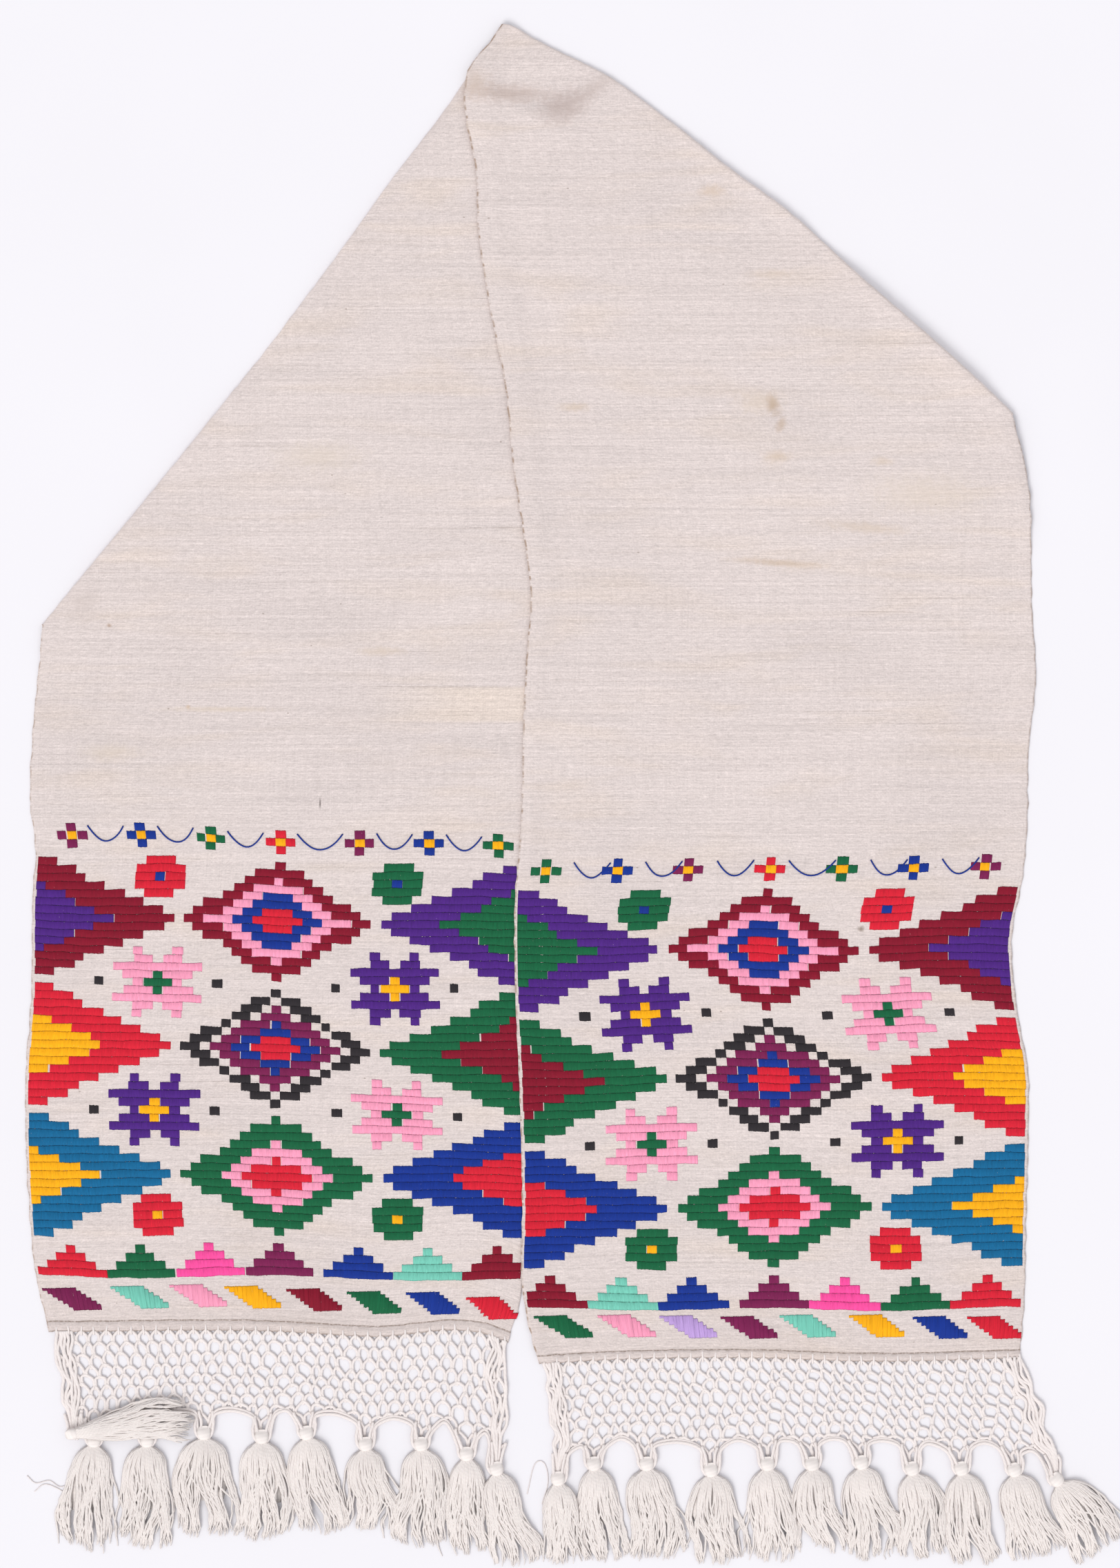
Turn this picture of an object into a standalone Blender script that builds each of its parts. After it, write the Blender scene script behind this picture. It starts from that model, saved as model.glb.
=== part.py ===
"""A rushnyk: one long strip of homespun linen, in two diagonal folds that lay its two ends side by side.

Each end has a turned hem, a knotted net looped to the hem, and tied tassels at the foot of the net.
Units are metres. +X runs to the right, +Y from the tassels to the folded point, +Z up from the surface
that it lies on.
Tables are in millimetres from a datum where the two ends meet at their hems.
"""

import math

import bmesh
import bpy
import numpy as np

MM = 0.001

# Cloth: its thickness, the clearance between layers, and how the upper layers come down to the floor
CLOTH_THICKNESS = 1.2 * MM
HEM_THICKNESS = 2.0 * MM
HEM_DEPTH = 10 * MM
LAYER_GAP = 0.8 * MM
LAYER_PITCH = CLOTH_THICKNESS + LAYER_GAP
STEP_START = 10 * MM
STEP_LENGTH = 40 * MM
LAP_MARGIN = 4 * MM
LAP_RAMP = 12 * MM

# Soft ridge below the folded point, across the right end
RIDGE_HEIGHT = 3.2 * MM
RIDGE_X, RIDGE_Y = 0 * MM, 994 * MM
RIDGE_REACH = 46 * MM
RIDGE_BEND = 6.0
RIDGE_UPPER, RIDGE_LOWER = 13 * MM, 30 * MM

# Net and tassels
CORD = 3.2 * MM
PIECE_GAP = 0.3 * MM
NET_GAP = 0.5 * MM
NET_ROWS = 6
NET_ROW_SHARE = 0.115
NET_FOOT_MARGIN = 4
COLUMNS_PER_TASSEL = 4
LEFT_NET_ENDS = (-372 * MM, -9 * MM)
RIGHT_NET_ENDS = (23 * MM, 407 * MM)

# Tassel head: its box, the part of its lower end that the strands grow from, and its rings as shares of its
# length, width and height
HEAD_WIDTH, HEAD_LENGTH, HEAD_HEIGHT = 13 * MM, 11 * MM, 7 * MM
ROOT_WIDTH, ROOT_HEIGHT = 0.85, 0.84
HEAD_RINGS = ((-0.1, 1.0, 1.0), (0.32, 0.75, 0.8), (0.5, 0, 0))
WELD = 0.01 * MM

# Tassel skirt: strands in two layers, which flare from the head, flatten, and taper near their ends
STRANDS_ACROSS, STRANDS_DEEP = 5, 2
STRAND_FILL = 0.8
STRAND_LAYER = 2.4 * MM
STRAND_SHARES = (0.3, 0.65, 1)
STRAND_ROOT, STRAND_FLARE = 0.42, 0.6
LAYER_SHIFT = 0.25
LENGTH_STEP = 0.04
TAPER_START, TAPER = 0.6, 0.45
FLATTEN = 0.3

# Where the datum lies from the middle of the whole piece, so that its box is centred on X and Y
DATUM_X, DATUM_Y = -45.3 * MM, -447.1 * MM

# Outline of the laid cloth, rows of (height y, side x)
LEFT_EDGE = ((0, -378), (22, -383), (51, -390), (108, -396), (167, -399), (223, -399), (275, -395),
             (371, -393), (402, -391), (433, -395), (501, -393), (573, -386), (620, -383))
LEFT_INNER = ((-2, -8), (14, -4), (28, 1), (46, 4), (110, 7), (200, 7), (300, 3), (400, 7), (500, 11),
              (566, 15), (605, 18), (643, 15), (709, 8), (778, 2), (844, -9), (906, -18), (955, -22),
              (1010, -28), (1044, -25))
RIGHT_INNER = ((-20, 19), (11, 10), (46, 4), (110, 4), (200, 2), (300, -2), (360, -2), (421, 3), (506, 5),
               (566, 8), (605, 11), (643, 7), (709, -3), (778, -10), (844, -23), (906, -32), (955, -34),
               (989, -41), (1014, -43), (1037, -38), (1056, -22), (1071, -12))
RIGHT_EDGE = ((-18, 407), (23, 411), (97, 413), (182, 415), (219, 415), (270, 406), (336, 402), (376, 410),
              (419, 414), (480, 415), (543, 421), (596, 418), (656, 417), (686, 416), (718, 411), (752, 402),
              (790, 400))

# Diagonal folds, rows of (side x, height y), and the hems' lower edges
LEFT_FOLD = ((-384, 583), (-300, 684), (-210, 796), (-143, 884), (-92, 955), (-57, 1001), (-38, 1028),
             (-25, 1044), (-18, 1056))
RIGHT_FOLD = ((-12, 1070), (-4, 1068), (4, 1063), (26, 1051), (75, 1026), (114, 998), (173, 951), (217, 919),
              (280, 862), (341, 809), (384, 770), (402, 753))
LEFT_HEM = ((-380, 8), (-190, 8), (-120, 4), (-20, 4), (-8, -1))
RIGHT_HEM = ((19, -20), (69, -17), (183, -15), (297, -18), (407, -15))

# Part of the way across the strip, from its outer to its inner selvedge, and the rows along each stretch
ACROSS = (0, 0.09, 0.18, 0.27, 0.36, 0.45, 0.54, 0.63, 0.72, 0.81, 0.88, 0.93, 0.96, 0.98, 1)
LEFT_ROWS, RIGHT_ROWS, TOP_ROWS, MIDDLE_ROWS, BEND_ROWS = 21, 21, 11, 4, 4
TOP_SHARE = 0.9
CORNER_SLIP = 11 * MM
FOLD_START = 900 * MM
MEET_STEPS = 40

# Tassels, rows of (head x, head y, skirt end x, skirt end y, half width at its end)
LEFT_TASSELS = ((-361, -72, -268, -56, 13), (-343, -83, -350, -160, 18), (-300, -83, -305, -158, 20),
                (-254, -71, -253, -151, 24), (-207, -74, -206, -153, 20), (-171, -71, -160, -148, 20),
                (-123, -80, -118, -148, 19), (-78, -80, -76, -160, 20), (-41, -88, -38, -165, 15),
                (-17, -100, -3, -174, 17))
RIGHT_TASSELS = ((33, -108, 39, -173, 15), (62, -96, 73, -170, 16), (105, -96, 112, -170, 21),
                 (157, -101, 165, -173, 20), (203, -96, 208, -170, 18), (239, -96, 246, -164, 18),
                 (279, -95, 291, -167, 20), (320, -100, 334, -167, 19), (360, -100, 374, -173, 18),
                 (403, -101, 420, -170, 20), (437, -109, 476, -164, 21))

LINEN, LINEN_ROUGHNESS = (0.76, 0.69, 0.64), 0.9
YARN, YARN_ROUGHNESS = (0.80, 0.75, 0.71), 0.95


def clear_scene():
    for thing in list(bpy.data.objects):
        bpy.data.objects.remove(thing, do_unlink=True)


def make_material(name, colour, roughness):
    material = bpy.data.materials.new(name)
    material.use_nodes = True
    shader = material.node_tree.nodes["Principled BSDF"]
    shader.inputs["Base Color"].default_value = (*colour, 1)
    shader.inputs["Roughness"].default_value = roughness
    shader.inputs["Metallic"].default_value = 0
    return material


def add_object(name, mesh, material, collection):
    thing = bpy.data.objects.new(name, mesh)
    mesh.materials.append(material)
    collection.objects.link(thing)
    return thing


def smooth_curve(table, at):
    """Smooth curve through a table's rows: cubic stretches that share their slopes at the rows."""
    place, value = np.array(table, float).T * MM
    slope = np.gradient(value, place)
    at = np.clip(at, place[0], place[-1])
    index = np.clip(np.searchsorted(place, at) - 1, 0, len(place) - 2)
    span = place[index + 1] - place[index]
    t = (at - place[index]) / span
    return (value[index] * (1 + 2 * t) * (1 - t) ** 2 + value[index + 1] * t**2 * (3 - 2 * t)
            + span * (slope[index] * t * (1 - t) ** 2 - slope[index + 1] * t**2 * (1 - t)))


def smooth_step(value):
    value = np.clip(value, 0, 1)
    return value * value * (3 - 2 * value)


def panel_x(outer, inner, across, y):
    """Side position on an end of the strip, between its two selvedges."""
    return smooth_curve(outer, y) * (1 - across) + smooth_curve(inner, y) * across


def column_end(outer, inner, curve, across, start):
    """Point where each lengthwise thread meets a fold or a hem, found by going back and forth between them."""
    y = np.full_like(across, start)
    for _ in range(MEET_STEPS):
        y = y + 0.5 * (smooth_curve(curve, panel_x(outer, inner, across, y)) - y)
    return panel_x(outer, inner, across, y), y


def over_middle(x, y):
    """How far an end is lifted by the middle stretch below it: 1 above that stretch, 0 on the floor."""
    (x_0, y_0), (x_1, y_1) = LEFT_FOLD[0], RIGHT_FOLD[-1]
    run, rise = (x_1 - x_0) * MM, (y_1 - y_0) * MM
    above = ((y - y_0 * MM) * run - (x - x_0 * MM) * rise) / math.hypot(run, rise)
    return smooth_step((above + STEP_START + STEP_LENGTH) / STEP_LENGTH)


def lap_lift(x, y):
    """How far the right end is lifted where it laps over the left end's inner selvedge."""
    inside = x - smooth_curve(RIGHT_INNER, y)
    lap = np.maximum(smooth_curve(LEFT_INNER, y) - smooth_curve(RIGHT_INNER, y), 0)
    return 1 - np.clip((inside - lap - LAP_MARGIN) / LAP_RAMP, 0, 1)


def ridge(x, y):
    """Soft ridge below the folded point, steeper on its upper side."""
    crest = RIDGE_Y + RIDGE_BEND * (x - RIDGE_X) ** 2
    away = (y - crest) / np.where(y > crest, RIDGE_UPPER, RIDGE_LOWER)
    return RIDGE_HEIGHT * np.exp(-(((x - RIDGE_X) / RIDGE_REACH) ** 2) - away**2)


def left_height(x, y):
    return CLOTH_THICKNESS / 2 + LAYER_PITCH * over_middle(x, y)


def right_height(x, y):
    return CLOTH_THICKNESS / 2 + LAYER_PITCH * (over_middle(x, y) + lap_lift(x, y)) + ridge(x, y)


def panel(outer, inner, hem, fold, fold_start, rows, height):
    """Rows of points from an end's hem up to its fold."""
    across = np.array(ACROSS, float)
    _, low = column_end(outer, inner, hem, across, 0.0)
    _, high = column_end(outer, inner, fold, across, fold_start)
    y = low + HEM_DEPTH + rows[:, None] * (high - low - HEM_DEPTH)
    y = np.vstack([low, y])
    x = panel_x(outer, inner, across, y)
    return np.dstack([x, y, height(x, y)])


def bend(upper, lower_x, lower_y, outward):
    """Half-round rows from the upper layer's edge round to the middle stretch below it."""
    floor = CLOTH_THICKNESS / 2
    radius = (upper[:, 2] - floor) / 2
    rows = []
    for step in range(1, BEND_ROWS + 1):
        angle = math.pi * step / BEND_ROWS
        share = step / BEND_ROWS
        x = upper[:, 0] * (1 - share) + lower_x * share + outward[0] * radius * math.sin(angle)
        y = upper[:, 1] * (1 - share) + lower_y * share + outward[1] * radius * math.sin(angle)
        rows.append(np.column_stack([x, y, floor + radius * (1 + math.cos(angle))]))
    return np.array(rows)


def outward_of(curve):
    """Direction square to a fold, pointing up and away from the cloth."""
    (x_0, y_0), (x_1, y_1) = curve[0], curve[-1]
    length = math.hypot(x_1 - x_0, y_1 - y_0)
    return -(y_1 - y_0) / length, (x_1 - x_0) / length


def strip_rows():
    """Points of the whole strip's middle surface, from the left hem over both folds to the right hem."""
    across = np.array(ACROSS, float)
    left_share = np.linspace(0, 1, LEFT_ROWS)
    right_share = np.append(np.linspace(0, TOP_SHARE, RIGHT_ROWS), np.linspace(TOP_SHARE, 1, TOP_ROWS)[1:])
    left = panel(LEFT_EDGE, LEFT_INNER, LEFT_HEM, LEFT_FOLD, FOLD_START, left_share, left_height)
    right = panel(RIGHT_EDGE, RIGHT_INNER, RIGHT_HEM, RIGHT_FOLD, FOLD_START, right_share, right_height)
    left_bend = bend(left[-1], left[-1, :, 0], left[-1, :, 1], outward_of(LEFT_FOLD))
    right_x = right[-1, :, 0] + CORNER_SLIP * across**6
    right_bend = bend(right[-1], right_x, smooth_curve(RIGHT_FOLD, right_x), outward_of(RIGHT_FOLD))
    share = np.linspace(0, 1, MIDDLE_ROWS + 1)[1:-1, None, None]
    middle = left_bend[-1] * (1 - share) + right_bend[-1] * share
    return np.concatenate([left, left_bend, middle, right_bend[::-1], right[::-1]])


def raise_hems(points, thickness):
    """Thicker hem rows, which rise so that they still lie on the floor."""
    for row in (0, 1, -2, -1):
        thickness[row] = HEM_THICKNESS if row in (0, -1) else CLOTH_THICKNESS
        points[row, :, 2] += (thickness[row] - CLOTH_THICKNESS) / 2


def build_cloth(material, collection):
    """The strip as one open surface in its folds, made solid with Solidify."""
    points = strip_rows()
    thickness = np.full(points.shape[:2], CLOTH_THICKNESS)
    raise_hems(points, thickness)
    rows, columns = points.shape[:2]
    faces = [(r * columns + c, r * columns + c + 1, (r + 1) * columns + c + 1, (r + 1) * columns + c)
             for r in range(rows - 1) for c in range(columns - 1)]
    mesh = bpy.data.meshes.new("cloth")
    mesh.from_pydata(points.reshape(-1, 3).tolist(), [], faces)
    cloth = add_object("cloth", mesh, material, collection)
    group = cloth.vertex_groups.new(name="thickness")
    for index, value in enumerate(thickness.ravel()):
        group.add([index], value / HEM_THICKNESS, "REPLACE")
    solid = cloth.modifiers.new("thickness", "SOLIDIFY")
    solid.thickness = HEM_THICKNESS
    solid.vertex_group = group.name
    solid.offset = 0
    mesh.shade_smooth()
    return cloth


def net_point(column, row, hem, ends, tassels):
    """Knot of the net: even columns at the hem, drawn towards the tassels' heads at its foot."""
    columns = COLUMNS_PER_TASSEL * len(tassels)
    share = row * NET_ROW_SHARE
    if row > NET_ROWS:
        share = 1 - (NET_ROWS + 2 - row) * (1 - NET_ROWS * NET_ROW_SHARE) / 2
    top_x = ends[0] + (ends[1] - ends[0]) * column / columns
    top_y = smooth_curve(hem, np.array([top_x]))[0] - NET_GAP - CORD / 2
    place = [0] + [COLUMNS_PER_TASSEL * (k + 0.5) for k in range(len(tassels))] + [columns]
    foot_x = [tassels[0][0] - NET_FOOT_MARGIN] + [t[0] for t in tassels] + [tassels[-1][0] + NET_FOOT_MARGIN]
    foot_y = [t[1] for t in tassels]
    foot_y = [foot_y[0], *foot_y, foot_y[-1]]
    x = np.interp(column, place, foot_x) * MM
    y = np.interp(column, place, foot_y) * MM + HEAD_LENGTH / 2 + NET_GAP + CORD / 2
    return top_x + (x - top_x) * share, top_y + (y - top_y) * share, CORD / 2


def build_net(name, hem, ends, tassels, material, collection):
    """Diamond net: its knots are the corners of diamond faces, and Wireframe turns their edges into cords."""
    columns = COLUMNS_PER_TASSEL * len(tassels)
    bm = bmesh.new()
    knots = {}

    def knot(column, row):
        if (column, row) not in knots:
            knots[column, row] = bm.verts.new(net_point(column, row, hem, ends, tassels))
        return knots[column, row]

    for row in range(1, NET_ROWS + 2):
        for column in range(1, columns):
            is_diamond = (column + row) % 2 == 1
            under_tassel = column % COLUMNS_PER_TASSEL == COLUMNS_PER_TASSEL // 2
            if is_diamond and (row <= NET_ROWS or under_tassel):
                bm.faces.new((knot(column, row - 1), knot(column - 1, row), knot(column, row + 1),
                              knot(column + 1, row)))
    mesh = bpy.data.meshes.new(name)
    bm.to_mesh(mesh)
    bm.free()
    net = add_object(name, mesh, material, collection)
    cords = net.modifiers.new("cords", "WIREFRAME")
    cords.thickness = CORD
    cords.use_boundary = True
    cords.use_even_offset = False
    return net


def strand_section(place, deep, share, length, spread):
    """Middle and size of one strand's section at a share of the way down the skirt."""
    root = HEAD_WIDTH * STRAND_ROOT
    half = root + (spread - root) * share**STRAND_FLARE
    step = 2 * half / (STRANDS_ACROSS + 2 * LAYER_SHIFT)
    sideways = LAYER_SHIFT if deep else -LAYER_SHIFT
    x = (place - (STRANDS_ACROSS - 1) / 2 + sideways) * step
    y = -HEAD_LENGTH / 2 - (length - HEAD_LENGTH / 2) * share * (1 - LENGTH_STEP * ((place + deep) % 2))
    taper = 1 - TAPER * max(share - TAPER_START, 0) / (1 - TAPER_START)
    width = STRAND_FILL * step * taper
    height = STRAND_LAYER * (1 - FLATTEN * share)
    z = height / 2 + deep * (height + 2 * PIECE_GAP)
    return x, y, z, width, height


def grow_strand(bm, face, place, deep, length, spread):
    """One face of the head's lower end is drawn out into a strand of its own."""
    for share in STRAND_SHARES:
        face = bmesh.ops.extrude_discrete_faces(bm, faces=[face])["faces"][0]
        middle = face.calc_center_median()
        x, y, z, width, height = strand_section(place, deep, share, length, spread)
        corners = [(v, v.co.x > middle.x, v.co.z > middle.z) for v in face.verts]
        for vert, right, upper in corners:
            vert.co = (x + width * (right - 0.5), y, z + height * (upper - 0.5))


def build_tassel(name, row, floor, material, collection):
    """Knot head and skirt of strands. It is modelled along -Y and turned to the way it lies."""
    head_x, head_y, end_x, end_y, half_width = (value * MM for value in row)
    length = math.hypot(end_x - head_x, end_y - head_y)
    bm = bmesh.new()
    bmesh.ops.create_grid(bm, x_segments=STRANDS_ACROSS, y_segments=STRANDS_DEEP, size=0.5)
    for vert in bm.verts:
        vert.co = (vert.co.x * HEAD_WIDTH * ROOT_WIDTH, -HEAD_LENGTH / 2,
                   (vert.co.y * ROOT_HEIGHT + 0.5) * HEAD_HEIGHT)
    cells = []
    for face in bm.faces:
        middle = face.calc_center_median()
        place = round(middle.x / (HEAD_WIDTH * ROOT_WIDTH) * STRANDS_ACROSS + (STRANDS_ACROSS - 1) / 2)
        cells.append((face, place, int(middle.z > HEAD_HEIGHT / 2)))
    rim = [edge for edge in bm.edges if edge.is_boundary]
    for y, width, height in HEAD_RINGS:
        ring = bmesh.ops.extrude_edge_only(bm, edges=rim)["geom"]
        rim = [part for part in ring if isinstance(part, bmesh.types.BMEdge)]
        for vert in {v for edge in rim for v in edge.verts}:
            angle = math.atan2((vert.co.z - HEAD_HEIGHT / 2) / HEAD_HEIGHT, vert.co.x / HEAD_WIDTH)
            if width == 0:
                vert.co = (0, y * HEAD_LENGTH, HEAD_HEIGHT / 2)
            else:
                vert.co = (math.cos(angle) * HEAD_WIDTH / 2 * width, y * HEAD_LENGTH,
                           (1 + math.sin(angle) * height) * HEAD_HEIGHT / 2)
    for face, place, deep in cells:
        grow_strand(bm, face, place, deep, length, half_width)
    bmesh.ops.remove_doubles(bm, verts=bm.verts, dist=WELD)
    bmesh.ops.recalc_face_normals(bm, faces=bm.faces)
    mesh = bpy.data.meshes.new(name)
    bm.to_mesh(mesh)
    bm.free()
    tassel = add_object(name, mesh, material, collection)
    tassel.location = (head_x, head_y, floor)
    tassel.rotation_euler.z = math.atan2(end_x - head_x, head_y - end_y)
    return tassel


def main():
    clear_scene()
    collection = bpy.data.collections.new("rushnyk")
    bpy.context.scene.collection.children.link(collection)
    linen = make_material("linen", LINEN, LINEN_ROUGHNESS)
    yarn = make_material("yarn", YARN, YARN_ROUGHNESS)
    pieces = [build_cloth(linen, collection)]
    pieces.append(build_net("net_left", LEFT_HEM, LEFT_NET_ENDS, LEFT_TASSELS, yarn, collection))
    pieces.append(build_net("net_right", RIGHT_HEM, RIGHT_NET_ENDS, RIGHT_TASSELS, yarn, collection))
    for side, table in (("left", LEFT_TASSELS), ("right", RIGHT_TASSELS)):
        for number, row in enumerate(table):
            folded_up = row[3] > row[1]
            floor = CORD + PIECE_GAP if folded_up else 0
            pieces.append(build_tassel(f"tassel_{side}_{number}", row, floor, yarn, collection))
    for piece in pieces:
        piece.location.x += DATUM_X
        piece.location.y += DATUM_Y


main()
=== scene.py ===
"""The looks of a rushnyk: a long linen towel in two diagonal folds, with stitched ends, nets and tassels.

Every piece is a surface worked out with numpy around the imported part. Lengths are in metres, and tables are
in millimetres from a datum where the two ends meet at their hems, x to the right and y towards the folds.
"""

from __future__ import annotations

import logging
import math
from dataclasses import dataclass, field
from enum import Enum
from functools import reduce

import bpy
import numpy as np
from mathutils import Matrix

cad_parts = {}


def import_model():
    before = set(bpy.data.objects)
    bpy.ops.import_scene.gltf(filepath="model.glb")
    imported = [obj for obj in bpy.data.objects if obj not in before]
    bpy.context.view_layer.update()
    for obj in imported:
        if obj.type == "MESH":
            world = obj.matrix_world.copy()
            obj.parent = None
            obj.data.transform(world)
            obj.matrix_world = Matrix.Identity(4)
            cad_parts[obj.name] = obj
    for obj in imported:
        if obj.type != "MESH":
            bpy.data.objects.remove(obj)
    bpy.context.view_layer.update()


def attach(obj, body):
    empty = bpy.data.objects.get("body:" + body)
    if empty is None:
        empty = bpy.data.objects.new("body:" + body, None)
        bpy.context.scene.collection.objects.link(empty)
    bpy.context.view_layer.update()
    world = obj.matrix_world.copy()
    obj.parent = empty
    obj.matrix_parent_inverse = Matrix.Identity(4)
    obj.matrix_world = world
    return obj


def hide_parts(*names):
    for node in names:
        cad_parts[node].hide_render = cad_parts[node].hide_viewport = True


LOG = logging.getLogger("rushnyk")

MM = 0.001
DATUM = np.array([-45.3, -447.1, 0.0]) * MM

Array = np.ndarray
Socket = bpy.types.NodeSocket
Table = tuple[tuple[float, ...], ...]
Colour = tuple[float, float, float]

# The strip's width, and the least height of its surfaces above the floor
STRIP_WIDTH = 0.41
FLOOR_GAP = 0.02 * MM

# Cloth layers: pitch between layers, how an upper layer comes down beside the one below, and a hem's depth
CLOTH_THICKNESS = 1.2 * MM
LAYER_PITCH = 2.0 * MM
STEP_START = 10 * MM
STEP_LENGTH = 40 * MM
LAP_MARGIN = 4 * MM
LAP_RAMP = 12 * MM
HEM_DEPTH = 10 * MM

# Soft ridge below the folded point, across the right end
RIDGE_HEIGHT = 3.2 * MM
RIDGE_X, RIDGE_Y = 0 * MM, 994 * MM
RIDGE_REACH = 46 * MM
RIDGE_BEND = 6.0
RIDGE_UPPER, RIDGE_LOWER = 13 * MM, 30 * MM

# Slip of the right fold's outer corner, how high a net reaches, gap between pieces, length of a tassel's head
CORNER_SLIP = 11 * MM
CORD_REACH = 3.2 * MM
PIECE_GAP = 0.3 * MM
HEAD_LENGTH = 11 * MM

# Outline of the laid cloth, rows of (height y, side x)
LEFT_EDGE = ((0, -378), (22, -383), (51, -390), (108, -396), (167, -399), (223, -399), (275, -395),
             (371, -393), (402, -391), (433, -395), (501, -393), (573, -386), (620, -383))
LEFT_INNER = ((-2, -8), (14, -4), (28, 1), (46, 4), (110, 7), (200, 7), (300, 3), (400, 7), (500, 11),
              (566, 15), (605, 18), (643, 15), (709, 8), (778, 2), (844, -9), (906, -18), (955, -22),
              (1010, -28), (1044, -25))
RIGHT_INNER = ((-20, 19), (11, 10), (46, 4), (110, 4), (200, 2), (300, -2), (360, -2), (421, 3), (506, 5),
               (566, 8), (605, 11), (643, 7), (709, -3), (778, -10), (844, -23), (906, -32), (955, -34),
               (989, -41), (1014, -43), (1037, -38), (1056, -22), (1071, -12))
RIGHT_EDGE = ((-18, 407), (23, 411), (97, 413), (182, 415), (219, 415), (270, 406), (336, 402), (376, 410),
              (419, 414), (480, 415), (543, 421), (596, 418), (656, 417), (686, 416), (718, 411), (752, 402),
              (790, 400))

# Diagonal folds, rows of (side x, height y), and the hems' lower edges
LEFT_FOLD = ((-384, 583), (-300, 684), (-210, 796), (-143, 884), (-92, 955), (-57, 1001), (-38, 1028),
             (-25, 1044), (-18, 1056))
RIGHT_FOLD = ((-12, 1070), (-4, 1068), (4, 1063), (26, 1051), (75, 1026), (114, 998), (173, 951), (217, 919),
              (280, 862), (341, 809), (384, 770), (402, 753))
LEFT_HEM = ((-380, 8), (-190, 8), (-120, 4), (-20, 4), (-8, -1))
RIGHT_HEM = ((19, -20), (69, -17), (183, -15), (297, -18), (407, -15))

# Tassels, rows of (head x, head y, skirt end x, skirt end y, half width at its end)
LEFT_TASSELS = ((-361, -72, -268, -56, 13), (-343, -77, -350, -160, 18), (-300, -77, -305, -158, 20),
                (-254, -71, -253, -151, 24), (-207, -74, -206, -153, 20), (-171, -71, -160, -148, 20),
                (-123, -80, -118, -148, 19), (-78, -80, -76, -160, 20), (-41, -88, -38, -165, 15),
                (-17, -100, -3, -174, 17))
RIGHT_TASSELS = ((33, -108, 39, -173, 15), (62, -96, 73, -170, 16), (105, -96, 112, -170, 21),
                 (157, -101, 165, -173, 20), (203, -96, 208, -170, 18), (239, -96, 246, -164, 18),
                 (279, -95, 291, -167, 20), (320, -100, 334, -167, 19), (360, -100, 374, -173, 18),
                 (403, -101, 420, -170, 20), (437, -109, 476, -164, 21))


class Side(Enum):
    """Which end of the strip."""

    LEFT = "left"
    RIGHT = "right"

    @property
    def flat_start(self) -> float:
        """First flat coordinate at the end's outer selvedge, which tells the two ends apart."""
        return 1.0 if self is Side.RIGHT else 0.0


class Thread(Enum):
    """Embroidery threads, each with its colour in daylight, as 0 to 255 for red, green and blue."""

    CRIMSON = (134, 5, 38)
    VIOLET = (76, 30, 128)
    GREEN = (10, 98, 60)
    YELLOW = (252, 176, 6)
    BLUE = (8, 48, 142)
    RED = (216, 26, 50)
    TEAL = (4, 102, 150)
    PINK = (248, 158, 188)
    ROSE = (248, 78, 158)
    MINT = (118, 200, 180)
    LILAC = (192, 160, 220)
    PLUM = (122, 24, 78)
    BLACK = (43, 38, 42)


def rgba(colour: Colour) -> tuple[float, float, float, float]:
    """Turns a colour of 0 to 255 as seen into the light it gives back: the standard curve for screens.

    Args:
        colour: red, green and blue from 0 to 255.

    Returns:
        The same colour as shares of light from 0 to 1, with full cover.
    """
    parts = np.array(colour) / 255
    return (*np.where(parts <= 0.04045, parts / 12.92, ((parts + 0.055) / 1.055) ** 2.4).tolist(), 1.0)


def smooth_curve(table: Table, at: Array) -> Array:
    """Smooth curve through a table's rows: cubic stretches that share their slopes at the rows.

    Args:
        table: rows of (place, value) in millimetres, by rising place.
        at: places in metres. Beyond the table the end values hold.

    Returns:
        The curve's values in metres.
    """
    place, value = np.array(table, float).T * MM
    slope = np.gradient(value, place)
    at = np.clip(at, place[0], place[-1])
    index = np.clip(np.searchsorted(place, at) - 1, 0, len(place) - 2)
    span = place[index + 1] - place[index]
    t = (at - place[index]) / span
    return (value[index] * (1 + 2 * t) * (1 - t) ** 2 + value[index + 1] * t**2 * (3 - 2 * t)
            + span * (slope[index] * t * (1 - t) ** 2 - slope[index + 1] * t**2 * (1 - t)))


def route_through(places: Array, at: Array) -> Array:
    """Smooth path through places that lie one step apart.

    Args:
        places: rows of (x, y) or (x, y, z) in millimetres.
        at: steps along the path.

    Returns:
        The path's points in metres.
    """
    steps = np.arange(len(places)) / MM
    return np.column_stack([smooth_curve(np.column_stack([steps, part]), at) for part in places.T])


def smooth_step(value: Array) -> Array:
    """Rises from 0 to 1 as value does, with level ends."""
    value = np.clip(value, 0, 1)
    return value * value * (3 - 2 * value)


def drift(at: Array, wave: float, seed: int) -> Array:
    """Slow wander between about -1 and 1: a sum of four sine waves, all about as long as one wave length.

    Args:
        at: places in metres.
        wave: the middle wave length in metres.
        seed: picks the lengths and phases.

    Returns:
        The wander at each place.
    """
    rng = np.random.default_rng(seed)
    lengths, phases = wave * rng.uniform(0.55, 1.7, 4), rng.uniform(0, 2 * math.pi, 4)
    return np.sin(2 * math.pi * np.asarray(at)[..., None] / lengths + phases).sum(axis=-1) / 2.4


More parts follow.
